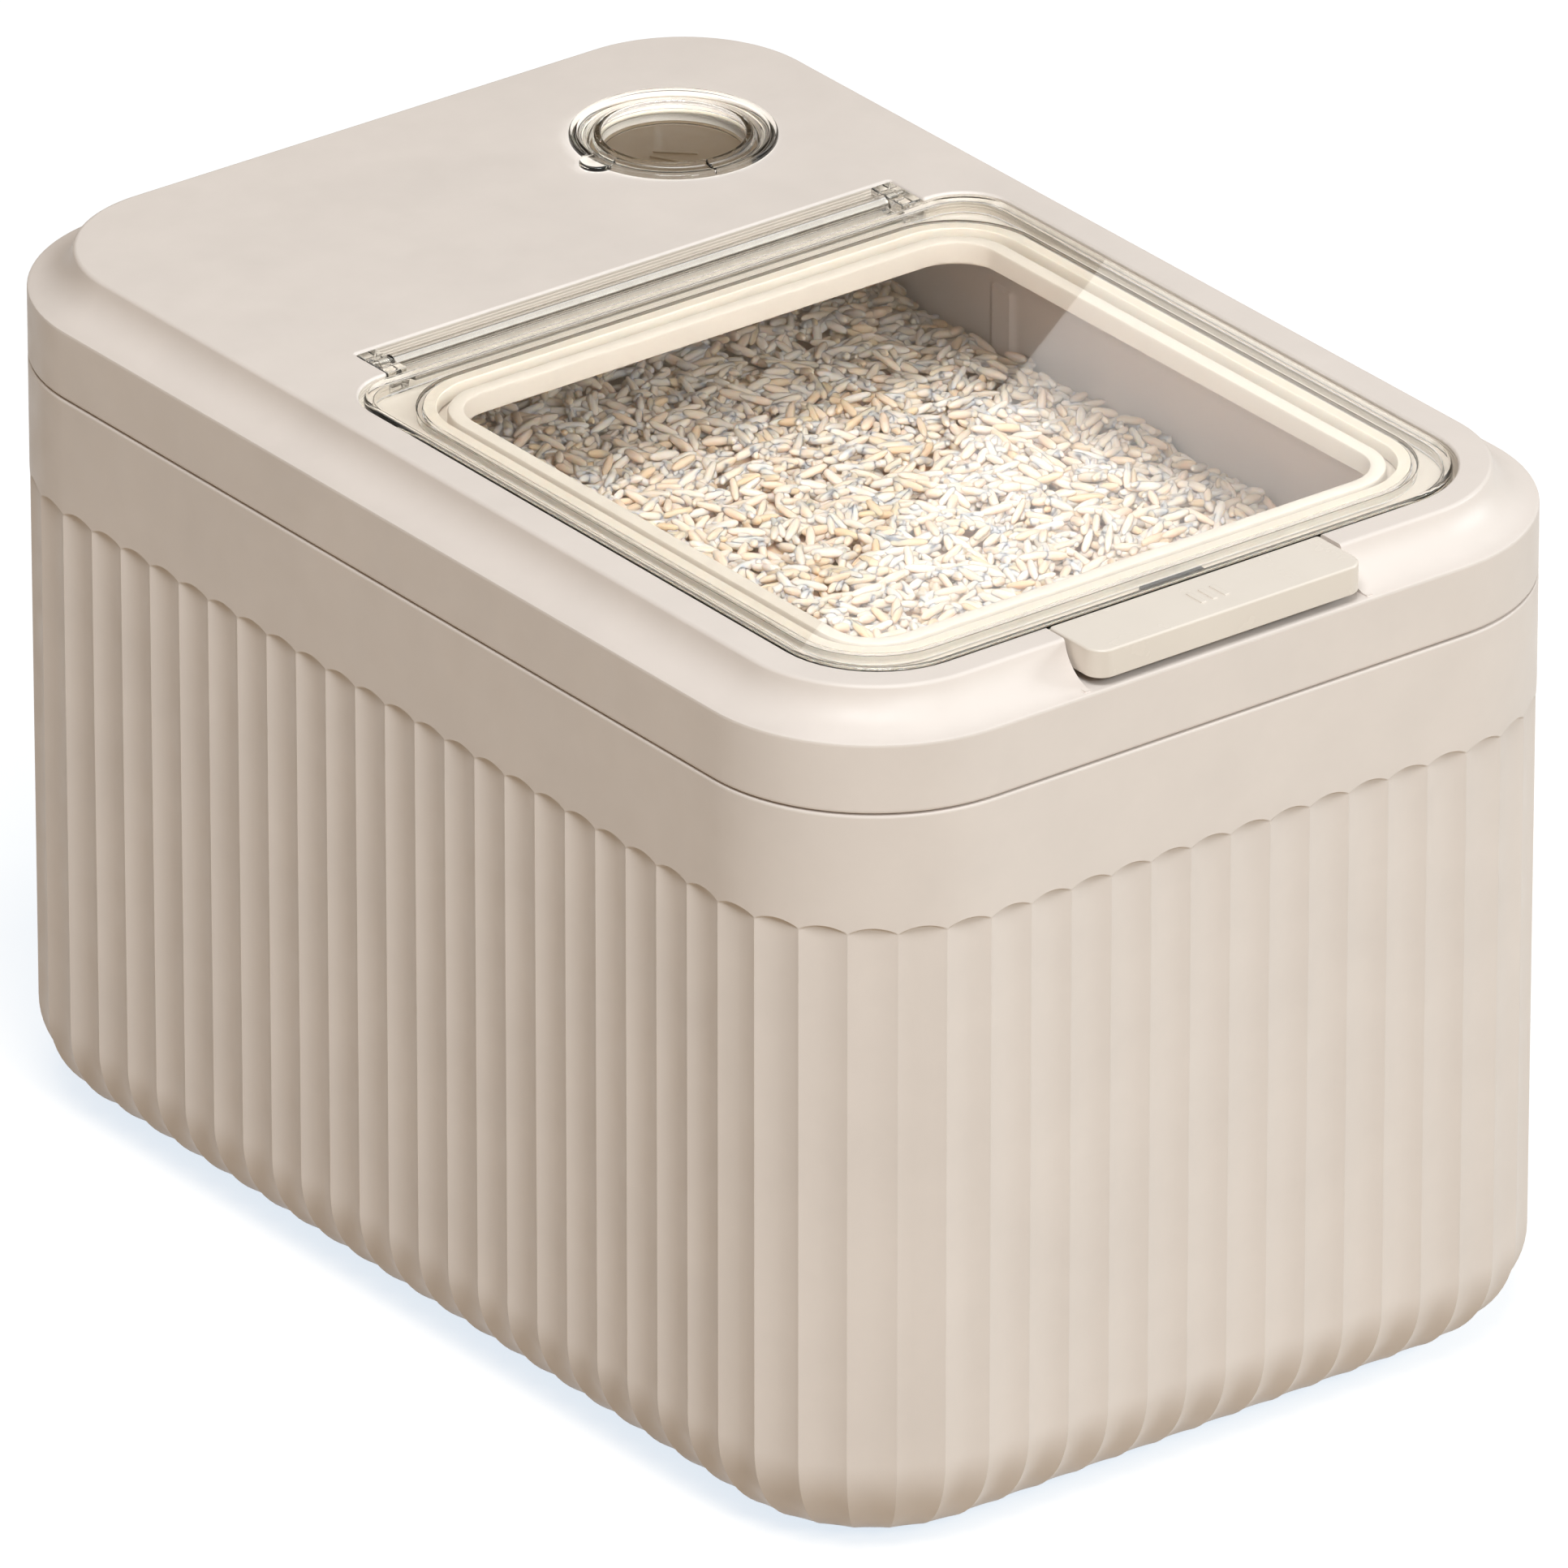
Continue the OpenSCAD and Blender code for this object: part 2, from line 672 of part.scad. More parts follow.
// Latch: sliding plate whose nose holds the catch and whose slanted slot follows the button's leg
module latch_slider() {
  z0 = latch_z;
  z1 = latch_z + latch_t;
  leg_front = leg_y - leg_t / 2 - leg_gap + leg_bend_z;
  leg_back = leg_y + leg_t / 2 + leg_gap + leg_bend_z;
  color(silicone) difference() {
    union() {
      box([-latch_half_w, latch_front_y, z0], [latch_half_w, latch_shoulder_y, z1]);
      box([-latch_nose_half_w, latch_shoulder_y - 1, z0], [latch_nose_half_w, latch_nose_y, z1]);
    }
    translate([-leg_half_w - leg_gap, 0, 0]) rotate([90, 0, 90])
      linear_extrude(2 * (leg_half_w + leg_gap))
        polygon([
          [leg_front - z0 + 1, z0 - 1], [leg_back - z0 + 1, z0 - 1],
          [leg_back - z1 - 1, z1 + 1], [leg_front - z1 - 1, z1 + 1]
        ]);
  }
}

// Cup under the latch that keeps it off the food
module latch_cover() {
  z1 = ledge_z - ledge_t - 0.1;
  color(cream) difference() {
    union() {
      difference() {
        box([-cover_half_w, cover_front_y, cover_z], [cover_half_w, cover_back_y, z1]);
        box([-cover_half_w + cover_wall, cover_front_y + cover_wall, cover_z + cover_t],
          [cover_half_w - cover_wall, cover_back_y - cover_wall, z1 + 1]);
      }
      for (s = [-1, 1])
        box([s * guide_x - 1, cover_front_y + 1, cover_z + eps],
          [s * guide_x + 1, guide_back_y, latch_z - guide_gap]);
    }
    box([-latch_half_w - 0.6, cover_front_y - 1, latch_z - 0.4],
      [latch_half_w + 0.6, cover_front_y + cover_wall + 0.1, z1 + 1]);
    box([-leg_half_w - 0.6, cover_front_y - 1, cover_z + cover_t],
      [leg_half_w + 0.6, cover_front_y + cover_wall + 0.1, z1 + 1]);
    box([-half_w, -half_d, bay_under_z], [half_w, -recess_front + 0.3, top_z]);
    for (s = [-1, 1])
      translate([s * cover_post_x, cover_post_y, cover_z - 1])
        cylinder(h = cover_t + 1.5, r = screw_r + 0.3);
  }
}

// Screws that hold the latch cover to its posts
module latch_screws() {
  color(steel)
    for (s = [-1, 1])
      translate([s * cover_post_x, cover_post_y, 0]) pan_screw(cover_z);
}

// Clear ring with a thumb lobe and a skirt that turns in the well
module dial_ring() {
  z_top = top_z + ring_proud;
  z_low = top_z + ring_lift;
  color(clear_plastic) translate([dial_x, dial_y, 0]) union() {
    rotate_extrude() difference() {
      union() {
        translate([dial_bowl_r, z_low]) square([dial_r - dial_bowl_r, z_top - z_low]);
        translate([dial_bowl_r, disc_z + disc_t]) square([bowl_wall, z_top - disc_z - disc_t]);
        translate([ring_skirt_r - skirt_wall, disc_z - 0.2])
          square([skirt_wall, z_low - disc_z + 0.6]);
      }
      translate([ring_skirt_r - groove_d, groove_z - oring_r - 0.1])
        square([groove_d + 1, 2 * oring_r + 0.2]);
    }
    intersection() {
      rotate([0, 0, lobe_angle]) translate([lobe_reach, 0, z_low])
        cylinder(h = z_top - z_low, r = lobe_r);
      difference() {
        translate([0, 0, z_low]) cylinder(h = z_top - z_low, r = dial_r + lobe_r + 1);
        translate([0, 0, z_low - 1]) cylinder(h = 4, r = dial_r - 3);
      }
    }
  }
}

// Dished disc inside the ring, with a pointer standing on it
module dial_disc() {
  color(taupe) translate([dial_x, dial_y, disc_z]) union() {
    cylinder(h = disc_t, r = ring_skirt_r - skirt_wall - 0.3);
    for (s = [-1, 1])
      rotate([0, 0, pointer_angle + 9 * s]) translate([-5, 2.2 * s, disc_t - eps])
        cube([11, 0.7, 0.5]);
  }
}

// O-ring in the groove of the dial's skirt
module dial_oring() {
  color(silicone) translate([dial_x, dial_y, groove_z]) rotate_extrude()
    translate([ring_skirt_r - groove_d + oring_r, 0]) circle(oring_r);
}

// Desiccant box: flanged tube that hangs in the well
module desiccant_box() {
  shelf_z = well_z + 2.2;
  color(cream) translate([dial_x, dial_y, 0]) rotate_extrude() {
    translate([box_r - box_wall, box_z]) square([box_wall, shelf_z - box_z + flange_t]);
    translate([box_r - box_wall, shelf_z]) square([box_flange_r - box_r + box_wall, flange_t]);
  }
}

// Perforated cap that closes the desiccant box from below
module desiccant_cap() {
  plug_r = box_r - box_wall - 0.1;
  color(cream) translate([dial_x, dial_y, box_z - flange_t]) difference() {
    union() {
      cylinder(h = flange_t, r = box_r);
      translate([0, 0, flange_t - eps]) difference() {
        cylinder(h = 2, r = plug_r);
        translate([0, 0, -1]) cylinder(h = 4, r = plug_r - 1.2);
      }
    }
    for (ring = [1 : 3], i = [0 : 6 * ring - 1])
      rotate([0, 0, 60 * i / ring]) translate([5 * ring, 0, -1]) cylinder(h = 3, r = 1.4, $fn = 24);
  }
}

// Sachet of desiccant lying in its box
module desiccant_sachet() {
  color([0.95, 0.95, 0.93]) translate([dial_x, dial_y, box_z]) rotate_extrude() {
    square([sachet_r, sachet_h]);
    translate([sachet_r, sachet_h / 2]) circle(sachet_h / 2);
  }
}

tub();
rice();
foot_pads();
lid_frame();
window_rim();
dial_well();
lid_liner();
lid_seal();
lid_screws();
window_panel();
window_gasket();
lid_catch();
hinge_pin();
hinge_cap_left();
hinge_cap_right();
torsion_spring_left();
torsion_spring_right();
push_button();
button_spring_left();
button_spring_right();
latch_slider();
latch_cover();
latch_screws();
dial_ring();
dial_disc();
dial_oring();
desiccant_box();
desiccant_cap();
desiccant_sachet();
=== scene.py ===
"""Looks of the rice bin with flip lid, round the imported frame. Lengths are in mm until a mesh is made."""
import math

import bmesh
import bpy
import numpy as np
from mathutils import Matrix, Vector
from mathutils.geometry import delaunay_2d_cdt


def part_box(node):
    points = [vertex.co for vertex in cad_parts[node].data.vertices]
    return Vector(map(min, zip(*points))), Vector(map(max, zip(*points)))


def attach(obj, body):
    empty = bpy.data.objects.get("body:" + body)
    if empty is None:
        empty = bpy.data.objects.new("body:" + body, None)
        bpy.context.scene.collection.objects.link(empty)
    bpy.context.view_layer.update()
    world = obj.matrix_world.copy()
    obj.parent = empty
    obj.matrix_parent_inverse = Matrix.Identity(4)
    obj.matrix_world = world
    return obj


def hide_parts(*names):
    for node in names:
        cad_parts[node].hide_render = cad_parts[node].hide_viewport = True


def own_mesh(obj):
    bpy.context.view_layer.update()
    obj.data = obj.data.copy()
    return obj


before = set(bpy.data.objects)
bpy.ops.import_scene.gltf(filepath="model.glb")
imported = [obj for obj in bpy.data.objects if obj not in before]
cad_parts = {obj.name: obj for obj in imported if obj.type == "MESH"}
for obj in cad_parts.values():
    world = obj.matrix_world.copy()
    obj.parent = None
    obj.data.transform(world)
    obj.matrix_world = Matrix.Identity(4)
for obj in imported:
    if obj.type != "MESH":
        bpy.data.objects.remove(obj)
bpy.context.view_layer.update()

MM = 0.001
RNG = np.random.default_rng(7)


def corners(node):
    """Lowest and highest corner of a CAD node, in millimetres."""
    low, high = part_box(node)
    return [v / MM for v in low], [v / MM for v in high]


# ---------------------------------------------------------------- sizes taken from the frame
TUB_LOW, TUB_HIGH = corners("tub")
LID_LOW, LID_HIGH = corners("lid_frame")
RICE_LOW, RICE_HIGH = corners("rice")
HALF_W = TUB_HIGH[0]
HALF_D = TUB_HIGH[1]
TUB_Z = TUB_LOW[2]
SPIGOT_Z = TUB_HIGH[2]
SPLIT_Z = LID_LOW[2] - 0.6
TOP_Z = LID_HIGH[2]

# ---------------------------------------------------------------- sizes the CAD shares
CORNER_R = 46.0
BASE_ROUND = 26.0
WALL = 3.4
FLOOR_T = 3.0
FLUTES_PER_QUARTER = 23
FLUTE_DEPTH = 1.3
BAND_H = 29.2
FLUTE_ARCH = 1.5
RIB_Y = 56.0
RIB_HALF_W = 4.6
RIB_LOW = 50.0
SPIGOT_OUT = 3.0
SPIGOT_IN = 5.4
RUN_X = HALF_W - CORNER_R
RUN_Y = HALF_D - CORNER_R
ARC = math.pi * CORNER_R / 2
QUARTER = RUN_X + ARC + RUN_Y
PITCH = QUARTER / FLUTES_PER_QUARTER


# ---------------------------------------------------------------- mesh helpers
def put_in_scene(name, data):
    """Makes an object of this data and links it to the scene."""
    obj = bpy.data.objects.new(name, data)
    bpy.context.scene.collection.objects.link(obj)
    return obj


def new_object(name, verts, faces, material, smooth_angle=35.0):
    """Makes a mesh object from millimetre points, with smooth shading below smooth_angle."""
    mesh = bpy.data.meshes.new(name)
    mesh.from_pydata([(x * MM, y * MM, z * MM) for x, y, z in verts], [], faces)
    mesh.validate()
    mesh.materials.append(material)
    obj = put_in_scene(name, mesh)
    shade(obj, smooth_angle)
    return obj


def shade(obj, angle):
    """Smooth shading: edges sharper than angle stay sharp, large faces are flat up to their rounded edges."""
    mesh = obj.data
    mesh.shade_smooth()
    mesh.set_sharp_from_angle(angle=math.radians(angle))
    obj.modifiers.clear()
    weighted = obj.modifiers.new("weighted_normals", "WEIGHTED_NORMAL")
    weighted.keep_sharp = True


class Shape:
    """Collects the points and faces of one mesh."""

    def __init__(self):
        self.verts = []
        self.faces = []

    def ring(self, points):
        start = len(self.verts)
        self.verts.extend(tuple(map(float, p)) for p in points)
        return list(range(start, len(self.verts)))

    def strip(self, a, b, closed=True):
        """Quads between two rings of the same length."""
        n = len(a)
        for i in range(n if closed else n - 1):
            j = (i + 1) % n
            self.faces.append((a[i], a[j], b[j], b[i]))

    def loft(self, rings, closed=True):
        ids = [self.ring(r) for r in rings]
        for a, b in zip(ids, ids[1:]):
            self.strip(a, b, closed)
        return ids

    def fill(self, ids):
        self.faces.append(tuple(ids))


def finish_piece(obj, body, slot, *replaced):
    """Puts a piece on its CAD body and hides the CAD nodes it replaces."""
    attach(obj, body)
    if replaced:
        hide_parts(*replaced)
    return obj


# ---------------------------------------------------------------- plan outline of the bin
def plan_point(s):
    """Place and outward direction on the bin's outline, at s from the middle of the front towards +X."""
    quarter, u = divmod(s, QUARTER)
    quarter = int(quarter) % 4
    if quarter % 2:
        u = QUARTER - u
    if u < RUN_X:
        x, y, a = u, -HALF_D, -math.pi / 2
    elif u < RUN_X + ARC:
        t = (u - RUN_X) / CORNER_R
        x, y, a = RUN_X + CORNER_R * math.sin(t), -RUN_Y - CORNER_R * math.cos(t), t - math.pi / 2
    else:
        x, y, a = HALF_W, -RUN_Y + (u - RUN_X - ARC), 0.0
    nx, ny = math.cos(a), math.sin(a)
    sx = -1 if quarter >= 2 else 1
    sy = -1 if quarter in (1, 2) else 1
    return x * sx, y * sy, nx * sx, ny * sy


def build_tub(material):
    """Fluted tub, one closed skin: outside, base, spigot and inside."""
    # columns across one flute, closer together at its sharp edges
    shares = [0.0, 0.028, 0.07, 0.13, 0.21, 0.31, 0.42, 0.5, 0.58, 0.69, 0.79, 0.87, 0.93, 0.972]
    columns = []
    for flute in range(4 * FLUTES_PER_QUARTER):
        for share in shares:
            x, y, nx, ny = plan_point((flute + share) * PITCH)
            t = abs(2 * share - 1)
            hollow = 1 - t * t
            columns.append((x, y, nx, ny, hollow * min(1.0, hollow / 0.12) ** 0.35))
    cols = np.array(columns)
    base = cols[:, :2]
    normal = cols[:, 2:4]
    hollow = cols[:, 4]

    flute_top = SPLIT_Z - BAND_H - 1.0
    rows = []

    def row(inset, z):
        """One ring of the skin at an inset from the wall, which may differ from column to column."""
        inset = np.broadcast_to(inset, hollow.shape)
        z = np.broadcast_to(z, hollow.shape)
        rows.append(np.column_stack([base - normal * inset[:, None], z]))

    steps = 16
    for i in range(1, steps + 1):
        a = math.pi / 2 * i / steps
        fade = min(1.0, max(0.0, (a - math.radians(16)) / math.radians(44)))
        fade = fade * fade * (3 - 2 * fade)
        row(BASE_ROUND * (1 - math.sin(a)) + FLUTE_DEPTH * hollow * fade * math.sin(a),
            TUB_Z + BASE_ROUND * (1 - math.cos(a)) + FLUTE_DEPTH * hollow * fade * math.cos(a))
    for z in np.linspace(TUB_Z + BASE_ROUND + 12, flute_top - 14, 5):
        row(FLUTE_DEPTH * hollow, z)
    for z, follow in ((flute_top - 6, 0.5), (flute_top - 2.5, 1.0)):
        row(FLUTE_DEPTH * hollow, z + FLUTE_ARCH * hollow * follow)
    for dz, depth in ((-0.75, 1.0), (-0.55, 0.93), (-0.30, 0.5), (-0.10, 0.1), (0.0, 0.0)):
        row(FLUTE_DEPTH * hollow * depth, flute_top + FLUTE_ARCH * hollow + dz)
    row(0.0, flute_top + 4.0)
    row(0.0, flute_top + 14.0)
    for inset, z in ((0.0, SPLIT_Z - 0.7), (0.03, SPLIT_Z - 0.4), (0.18, SPLIT_Z - 0.12), (0.5, SPLIT_Z),
                     (SPIGOT_OUT, SPLIT_Z), (SPIGOT_OUT, SPIGOT_Z - 0.4), (SPIGOT_OUT + 0.4, SPIGOT_Z),
                     (SPIGOT_IN - 0.4, SPIGOT_Z), (SPIGOT_IN, SPIGOT_Z - 0.4), (SPIGOT_IN, SPLIT_Z - 4.6),
                     (SPIGOT_IN - 0.3, SPLIT_Z - 5.4), (WALL, SPLIT_Z - 7.6)):
        row(inset, z)
    rib = np.clip((RIB_HALF_W - np.abs(base[:, 1] - RIB_Y)) / 0.9, 0, 1) * (np.abs(normal[:, 0]) > 0.99)
    row(WALL, SPLIT_Z - 10.0)
    row(WALL + rib, SPLIT_Z - 10.9)
    row(WALL + rib, 120.0)
    row(WALL + rib, RIB_LOW + 1.0)
    row(WALL, RIB_LOW)
    inner = BASE_ROUND - WALL
    for i in range(0, 7):
        a = math.pi / 2 * i / 6
        row(WALL + inner * (1 - math.cos(a)), TUB_Z + FLOOR_T + inner * (1 - math.sin(a)))
    shape = Shape()
    ids = shape.loft(rows)
    shape.fill(list(reversed(ids[0])))
    shape.fill(ids[-1])
    tub = new_object("tub_shell", shape.verts, shape.faces, material, 40)
    return finish_piece(tub, "tub", "cream_plastic", "tub")


# ---------------------------------------------------------------- rice
def grain_template():
    """Points and faces of one long grain: a slightly bent, blunt spindle, 1 mm long and 1 mm thick."""
    sides = 7
    stations = [-0.5, -0.46, -0.36, -0.18, 0.04, 0.24, 0.40, 0.48, 0.5]
    radii = [0.0, 0.24, 0.40, 0.49, 0.50, 0.46, 0.35, 0.18, 0.0]
    verts = []
    faces = []
    for i, (s, r) in enumerate(zip(stations, radii)):
        bend = 0.10 * (0.25 - s * s)
        if r == 0.0:
            verts.append((s, bend, 0.0))
            continue
        for k in range(sides):
            a = 2 * math.pi * k / sides
            verts.append((s, bend + r * math.cos(a), r * math.sin(a)))
    first = 1
    for k in range(sides):
        faces.append((0, first + (k + 1) % sides, first + k))
    rings = len(stations) - 2
    for i in range(rings - 1):
        a = 1 + i * sides
        for k in range(sides):
            j = (k + 1) % sides
            faces.append((a + k, a + j, a + sides + j, a + sides + k))
    last = 1 + (rings - 1) * sides
    tip = last + sides
    for k in range(sides):
        faces.append((last + k, last + (k + 1) % sides, tip))
    return np.array(verts), faces


def inside_plan(x, y, inset):
    """True where a point lies within the bin's outline moved in by inset."""
    dx = np.maximum(np.abs(x) - RUN_X, 0)
    dy = np.maximum(np.abs(y) - RUN_Y, 0)
    return np.hypot(dx, dy) < CORNER_R - inset


RICE_INSET = HALF_W - RICE_HIGH[0]
RICE_H = 173.0
RICE_HEAP = 3.0
HEAP_R = 90.0
MOUND_H = 2.8
MOUND_PITCH = 22.0
GRAIN_LAYER = 3.4
GRAIN_TRIES = 15500
GRAIN_LENGTH = (6.4, 9.4)
GRAIN_THICK = (2.1, 2.7)
GRAIN_SLOPE = 0.34
BROKEN_SHARE = 0.08
BROKEN_LENGTH = 0.62


def rice_level(x, y):
    """Height of the bulk under the grains: the shallow heap with its mounds, as the solid has them."""
    base = RICE_H - MOUND_H / 2 - GRAIN_LAYER
    level = base + RICE_HEAP * np.clip(1 - (x * x + y * y) / HEAP_R ** 2, 0, 1)
    for i in range(-5, 6):
        for j in range(-7, 8):
            px = (i + (0 if j % 2 == 0 else 0.5)) * MOUND_PITCH
            py = j * MOUND_PITCH
            if not inside_plan(px, py, RICE_INSET + MOUND_PITCH * 0.65):
                continue
            h = MOUND_H * (0.82 + 0.18 * math.sin(math.radians(137 * i + 71 * j)))
            ball = ((MOUND_PITCH * 0.46) ** 2 + h * h) / (2 * h)
            foot = base + RICE_HEAP * (1 - min(math.hypot(px, py) / HEAP_R, 1) ** 2)
            reach = np.sqrt(np.maximum(ball ** 2 - (x - px) ** 2 - (y - py) ** 2, 0))
            level = np.maximum(level, foot + h - ball + reach)
    return level


def drop_grains():
    """Drops loose grains one by one on a height map of the heap, and keeps those that show.

    Each row holds a grain's place, turn, slope, length, thickness and roll."""
    step = 0.6
    gx = np.arange(-HALF_W, HALF_W + step, step)
    gy = np.arange(-HALF_D, HALF_D + step, step)
    level = rice_level(gx[:, None], gy[None, :])
    margin = RICE_INSET + 1.2
    placed = []
    tracks = []
    for _ in range(GRAIN_TRIES):
        length = RNG.uniform(*GRAIN_LENGTH) * (BROKEN_LENGTH if RNG.random() < BROKEN_SHARE else 1.0)
        thick = RNG.uniform(*GRAIN_THICK)
        while True:
            x = RNG.uniform(-HALF_W, HALF_W)
            y = RNG.uniform(-HALF_D, HALF_D)
            if inside_plan(x, y, margin):
                break
        turn = RNG.uniform(0, math.pi)
        ux, uy = math.cos(turn), math.sin(turn)
        if not (inside_plan(x + ux * length / 2, y + uy * length / 2, RICE_INSET + 0.3)
                and inside_plan(x - ux * length / 2, y - uy * length / 2, RICE_INSET + 0.3)):
            continue
        t = np.linspace(-0.46, 0.46, 7) * length
        px = x + ux * t
        py = y + uy * t
        ix = ((px + HALF_W) / step).astype(int)
        iy = ((py + HALF_D) / step).astype(int)
        under = level[ix, iy]
        # the grain rests on the highest support on each side of its middle
        left = int(np.argmax(under[:4] - 0.02 * np.abs(t[:4])))
        right = 3 + int(np.argmax(under[3:] - 0.02 * np.abs(t[3:])))
        if right == left:
            right = left + 1
        slope = (under[right] - under[left]) / (t[right] - t[left])
        slope = float(np.clip(slope, -GRAIN_SLOPE, GRAIN_SLOPE))
        line = under - slope * t
        z = float(line.max()) * 0.35 + float(line.mean()) * 0.65 + thick * 0.38
        if z > RICE_HIGH[2] + 0.6 - abs(slope) * length / 2:
            continue
        half = thick * 0.46
        placed.append((x, y, z, turn, slope, length, thick, RNG.uniform(0, 2 * math.pi)))
        tracks.append((ix, iy, z + slope * t + half))
        for off in (-0.35, 0.0, 0.35):
            qx = ((px - uy * off * thick + HALF_W) / step).astype(int)
            qy = ((py + ux * off * thick + HALF_D) / step).astype(int)
            top = z + slope * t + half * (1 - 0.6 * abs(off))
            np.maximum.at(level, (qx, qy), top)
    seen = [np.mean(top > level[ix, iy] - 0.9) >= 0.25 for ix, iy, top in tracks]
    return np.array(placed)[np.array(seen)]


def build_grains(material):
    """One mesh of all the loose grains."""
    template, faces = grain_template()
    quads = np.array([f for f in faces if len(f) == 4])
    tris = np.array([f for f in faces if len(f) == 3])
    p = drop_grains()
    n = len(p)
    local = template[None, :, :] * np.stack([p[:, 5], p[:, 6], p[:, 6] * 0.86], 1)[:, None, :]
    roll = p[:, 7][:, None]
    ly = local[:, :, 1] * np.cos(roll) - local[:, :, 2] * np.sin(roll)
    lz = local[:, :, 1] * np.sin(roll) + local[:, :, 2] * np.cos(roll)
    lx = local[:, :, 0]
    pitch = np.arctan(p[:, 4])[:, None]
    hx = lx * np.cos(pitch) - lz * np.sin(pitch)
    hz = lx * np.sin(pitch) + lz * np.cos(pitch)
    c = np.cos(p[:, 3])[:, None]
    s = np.sin(p[:, 3])[:, None]
    world = np.stack([p[:, 0][:, None] + hx * c - ly * s, p[:, 1][:, None] + hx * s + ly * c,
                      p[:, 2][:, None] + hz], 2).reshape(-1, 3)
    per = len(template)
    offsets = (np.arange(n) * per)[:, None, None]
    all_quads = (quads[None] + offsets).reshape(-1, 4)
    all_tris = (tris[None] + offsets).reshape(-1, 3)
    mesh = bpy.data.meshes.new("rice_grains")
    loops = np.concatenate([all_quads.ravel(), all_tris.ravel()])
    quad_starts = np.arange(len(all_quads)) * 4
    tri_starts = len(all_quads) * 4 + np.arange(len(all_tris)) * 3
    starts = np.concatenate([quad_starts, tri_starts])
    mesh.vertices.add(len(world))
    mesh.vertices.foreach_set("co", (world * MM).ravel())
    mesh.loops.add(len(loops))
    mesh.loops.foreach_set("vertex_index", loops.astype(np.int32))
    mesh.polygons.add(len(starts))
    mesh.polygons.foreach_set("loop_start", starts.astype(np.int32))
    mesh.update(calc_edges=True)
    mesh.materials.append(material)
    mesh.shade_smooth()
    obj = put_in_scene("rice_grains", mesh)
    return finish_piece(obj, "tub", "rice", "rice")


def build_bulk(material):
    """Body of the rice below the loose grains."""
    ring_count = 22
    shape = Shape()
    samples = [plan_point(4 * QUARTER * i / 240) for i in range(240)]
    inner = BASE_ROUND - RICE_INSET
    rings = []
    for i in range(0, 7):
        a = math.pi / 2 * i / 6
        inset = RICE_INSET + inner * (1 - math.sin(a))
        z = RICE_LOW[2] + inner * (1 - math.cos(a))
        rings.append([(x - nx * inset, y - ny * inset, z) for x, y, nx, ny in samples])
    edge = np.array([(x - nx * RICE_INSET, y - ny * RICE_INSET) for x, y, nx, ny in samples])
    for k in range(ring_count):
        x, y = (edge * (1 - k / ring_count)).T
        rings.append(list(zip(x, y, rice_level(x, y))))
    ids = shape.loft(rings)
    shape.fill(list(reversed(ids[0])))
    middle = shape.ring([(0, 0, float(rice_level(0, 0)))])[0]
    last = ids[-1]
    for i in range(len(last)):
        shape.faces.append((last[i], last[(i + 1) % len(last)], middle))
    obj = new_object("rice_bulk", shape.verts, shape.faces, material, 60)
    return finish_piece(obj, "tub", "rice", "rice")


# ---------------------------------------------------------------- lid: outlines with rounded corners
# half width, front, back, front corner radius, back corner radius
RECESS = (95.0, -154.5, 46.0, 26.0, 14.0)
OPENING = (76.9, -134.3, 26.7, 11.0, 11.0)
HINGE_BAY_HALF = 79.6
HINGE_BAY_BACK = 59.3
HINGE_Y = 53.6
HINGE_Z = TOP_Z - 2.6
DIAL = (53.2, 110.0)
LEDGE_Z = TOP_Z - 6.6
PANEL_T = 2.4
PANEL_GAP = 1.2
SKIRT_H = 6.0
SKIRT_T = 2.2
FLANGE_IN = 9.8
FLANGE_OUT = 11.2
BARREL_HALF_W = 73.0
BARREL_R = 2.5
PIN_BORE_R = 1.25
WALL_LINES = 6


def corner_path(points, grow=0.0, seg=12):
    """Closed outline through right-angled corners (x, y, radius), counterclockwise, grown outwards."""
    out = []
    n = len(points)
    for i, (x, y, r) in enumerate(points):
        before = Vector((x - points[i - 1][0], y - points[i - 1][1])).normalized()
        after = points[(i + 1) % n]
        after = Vector((after[0] - x, after[1] - y)).normalized()
        turn = before.x * after.y - before.y * after.x
        cx = x - before.x * r + after.x * r
        cy = y - before.y * r + after.y * r
        side = 1 if turn > 0 else -1
        start = math.atan2(-before.x * side, before.y * side)
        radius = max(r + grow * side, 0.02)
        for k in range(seg + 1):
            a = start + side * math.pi / 2 * k / seg
            out.append((cx + radius * math.cos(a), cy + radius * math.sin(a)))
    return out


def frame_corners(half, front, back, r_front, r_back):
    return [(-half, front, r_front), (half, front, r_front), (half, back, r_back), (-half, back, r_back)]


def recess(grow=0.0):
    return corner_path(frame_corners(*RECESS), grow)


def opening(grow=0.0):
    return corner_path(frame_corners(*OPENING), grow)


def recess_and_bay(grow=0.0):
    half, front, back, rf, rb = RECESS
    bay, bay_back = HINGE_BAY_HALF, HINGE_BAY_BACK
    points = [(-half, front, rf), (half, front, rf), (half, back, rb), (bay, back, 0.7), (bay, bay_back, 1.0),
              (-bay, bay_back, 1.0), (-bay, back, 0.7), (-half, back, rb)]
    return corner_path(points, grow)


def plan_ring(inset, seg=24):
    r = CORNER_R
    points = [(-HALF_W, -HALF_D, r), (HALF_W, -HALF_D, r), (HALF_W, HALF_D, r), (-HALF_W, HALF_D, r)]
    return corner_path(points, -inset, seg)


def circle(centre, radius, n=96):
    angles = [2 * math.pi * k / n for k in range(n)]
    return [(centre[0] + radius * math.cos(a), centre[1] + radius * math.sin(a)) for a in angles]


def at(points, z):
    return [(x, y, z) for x, y in points]


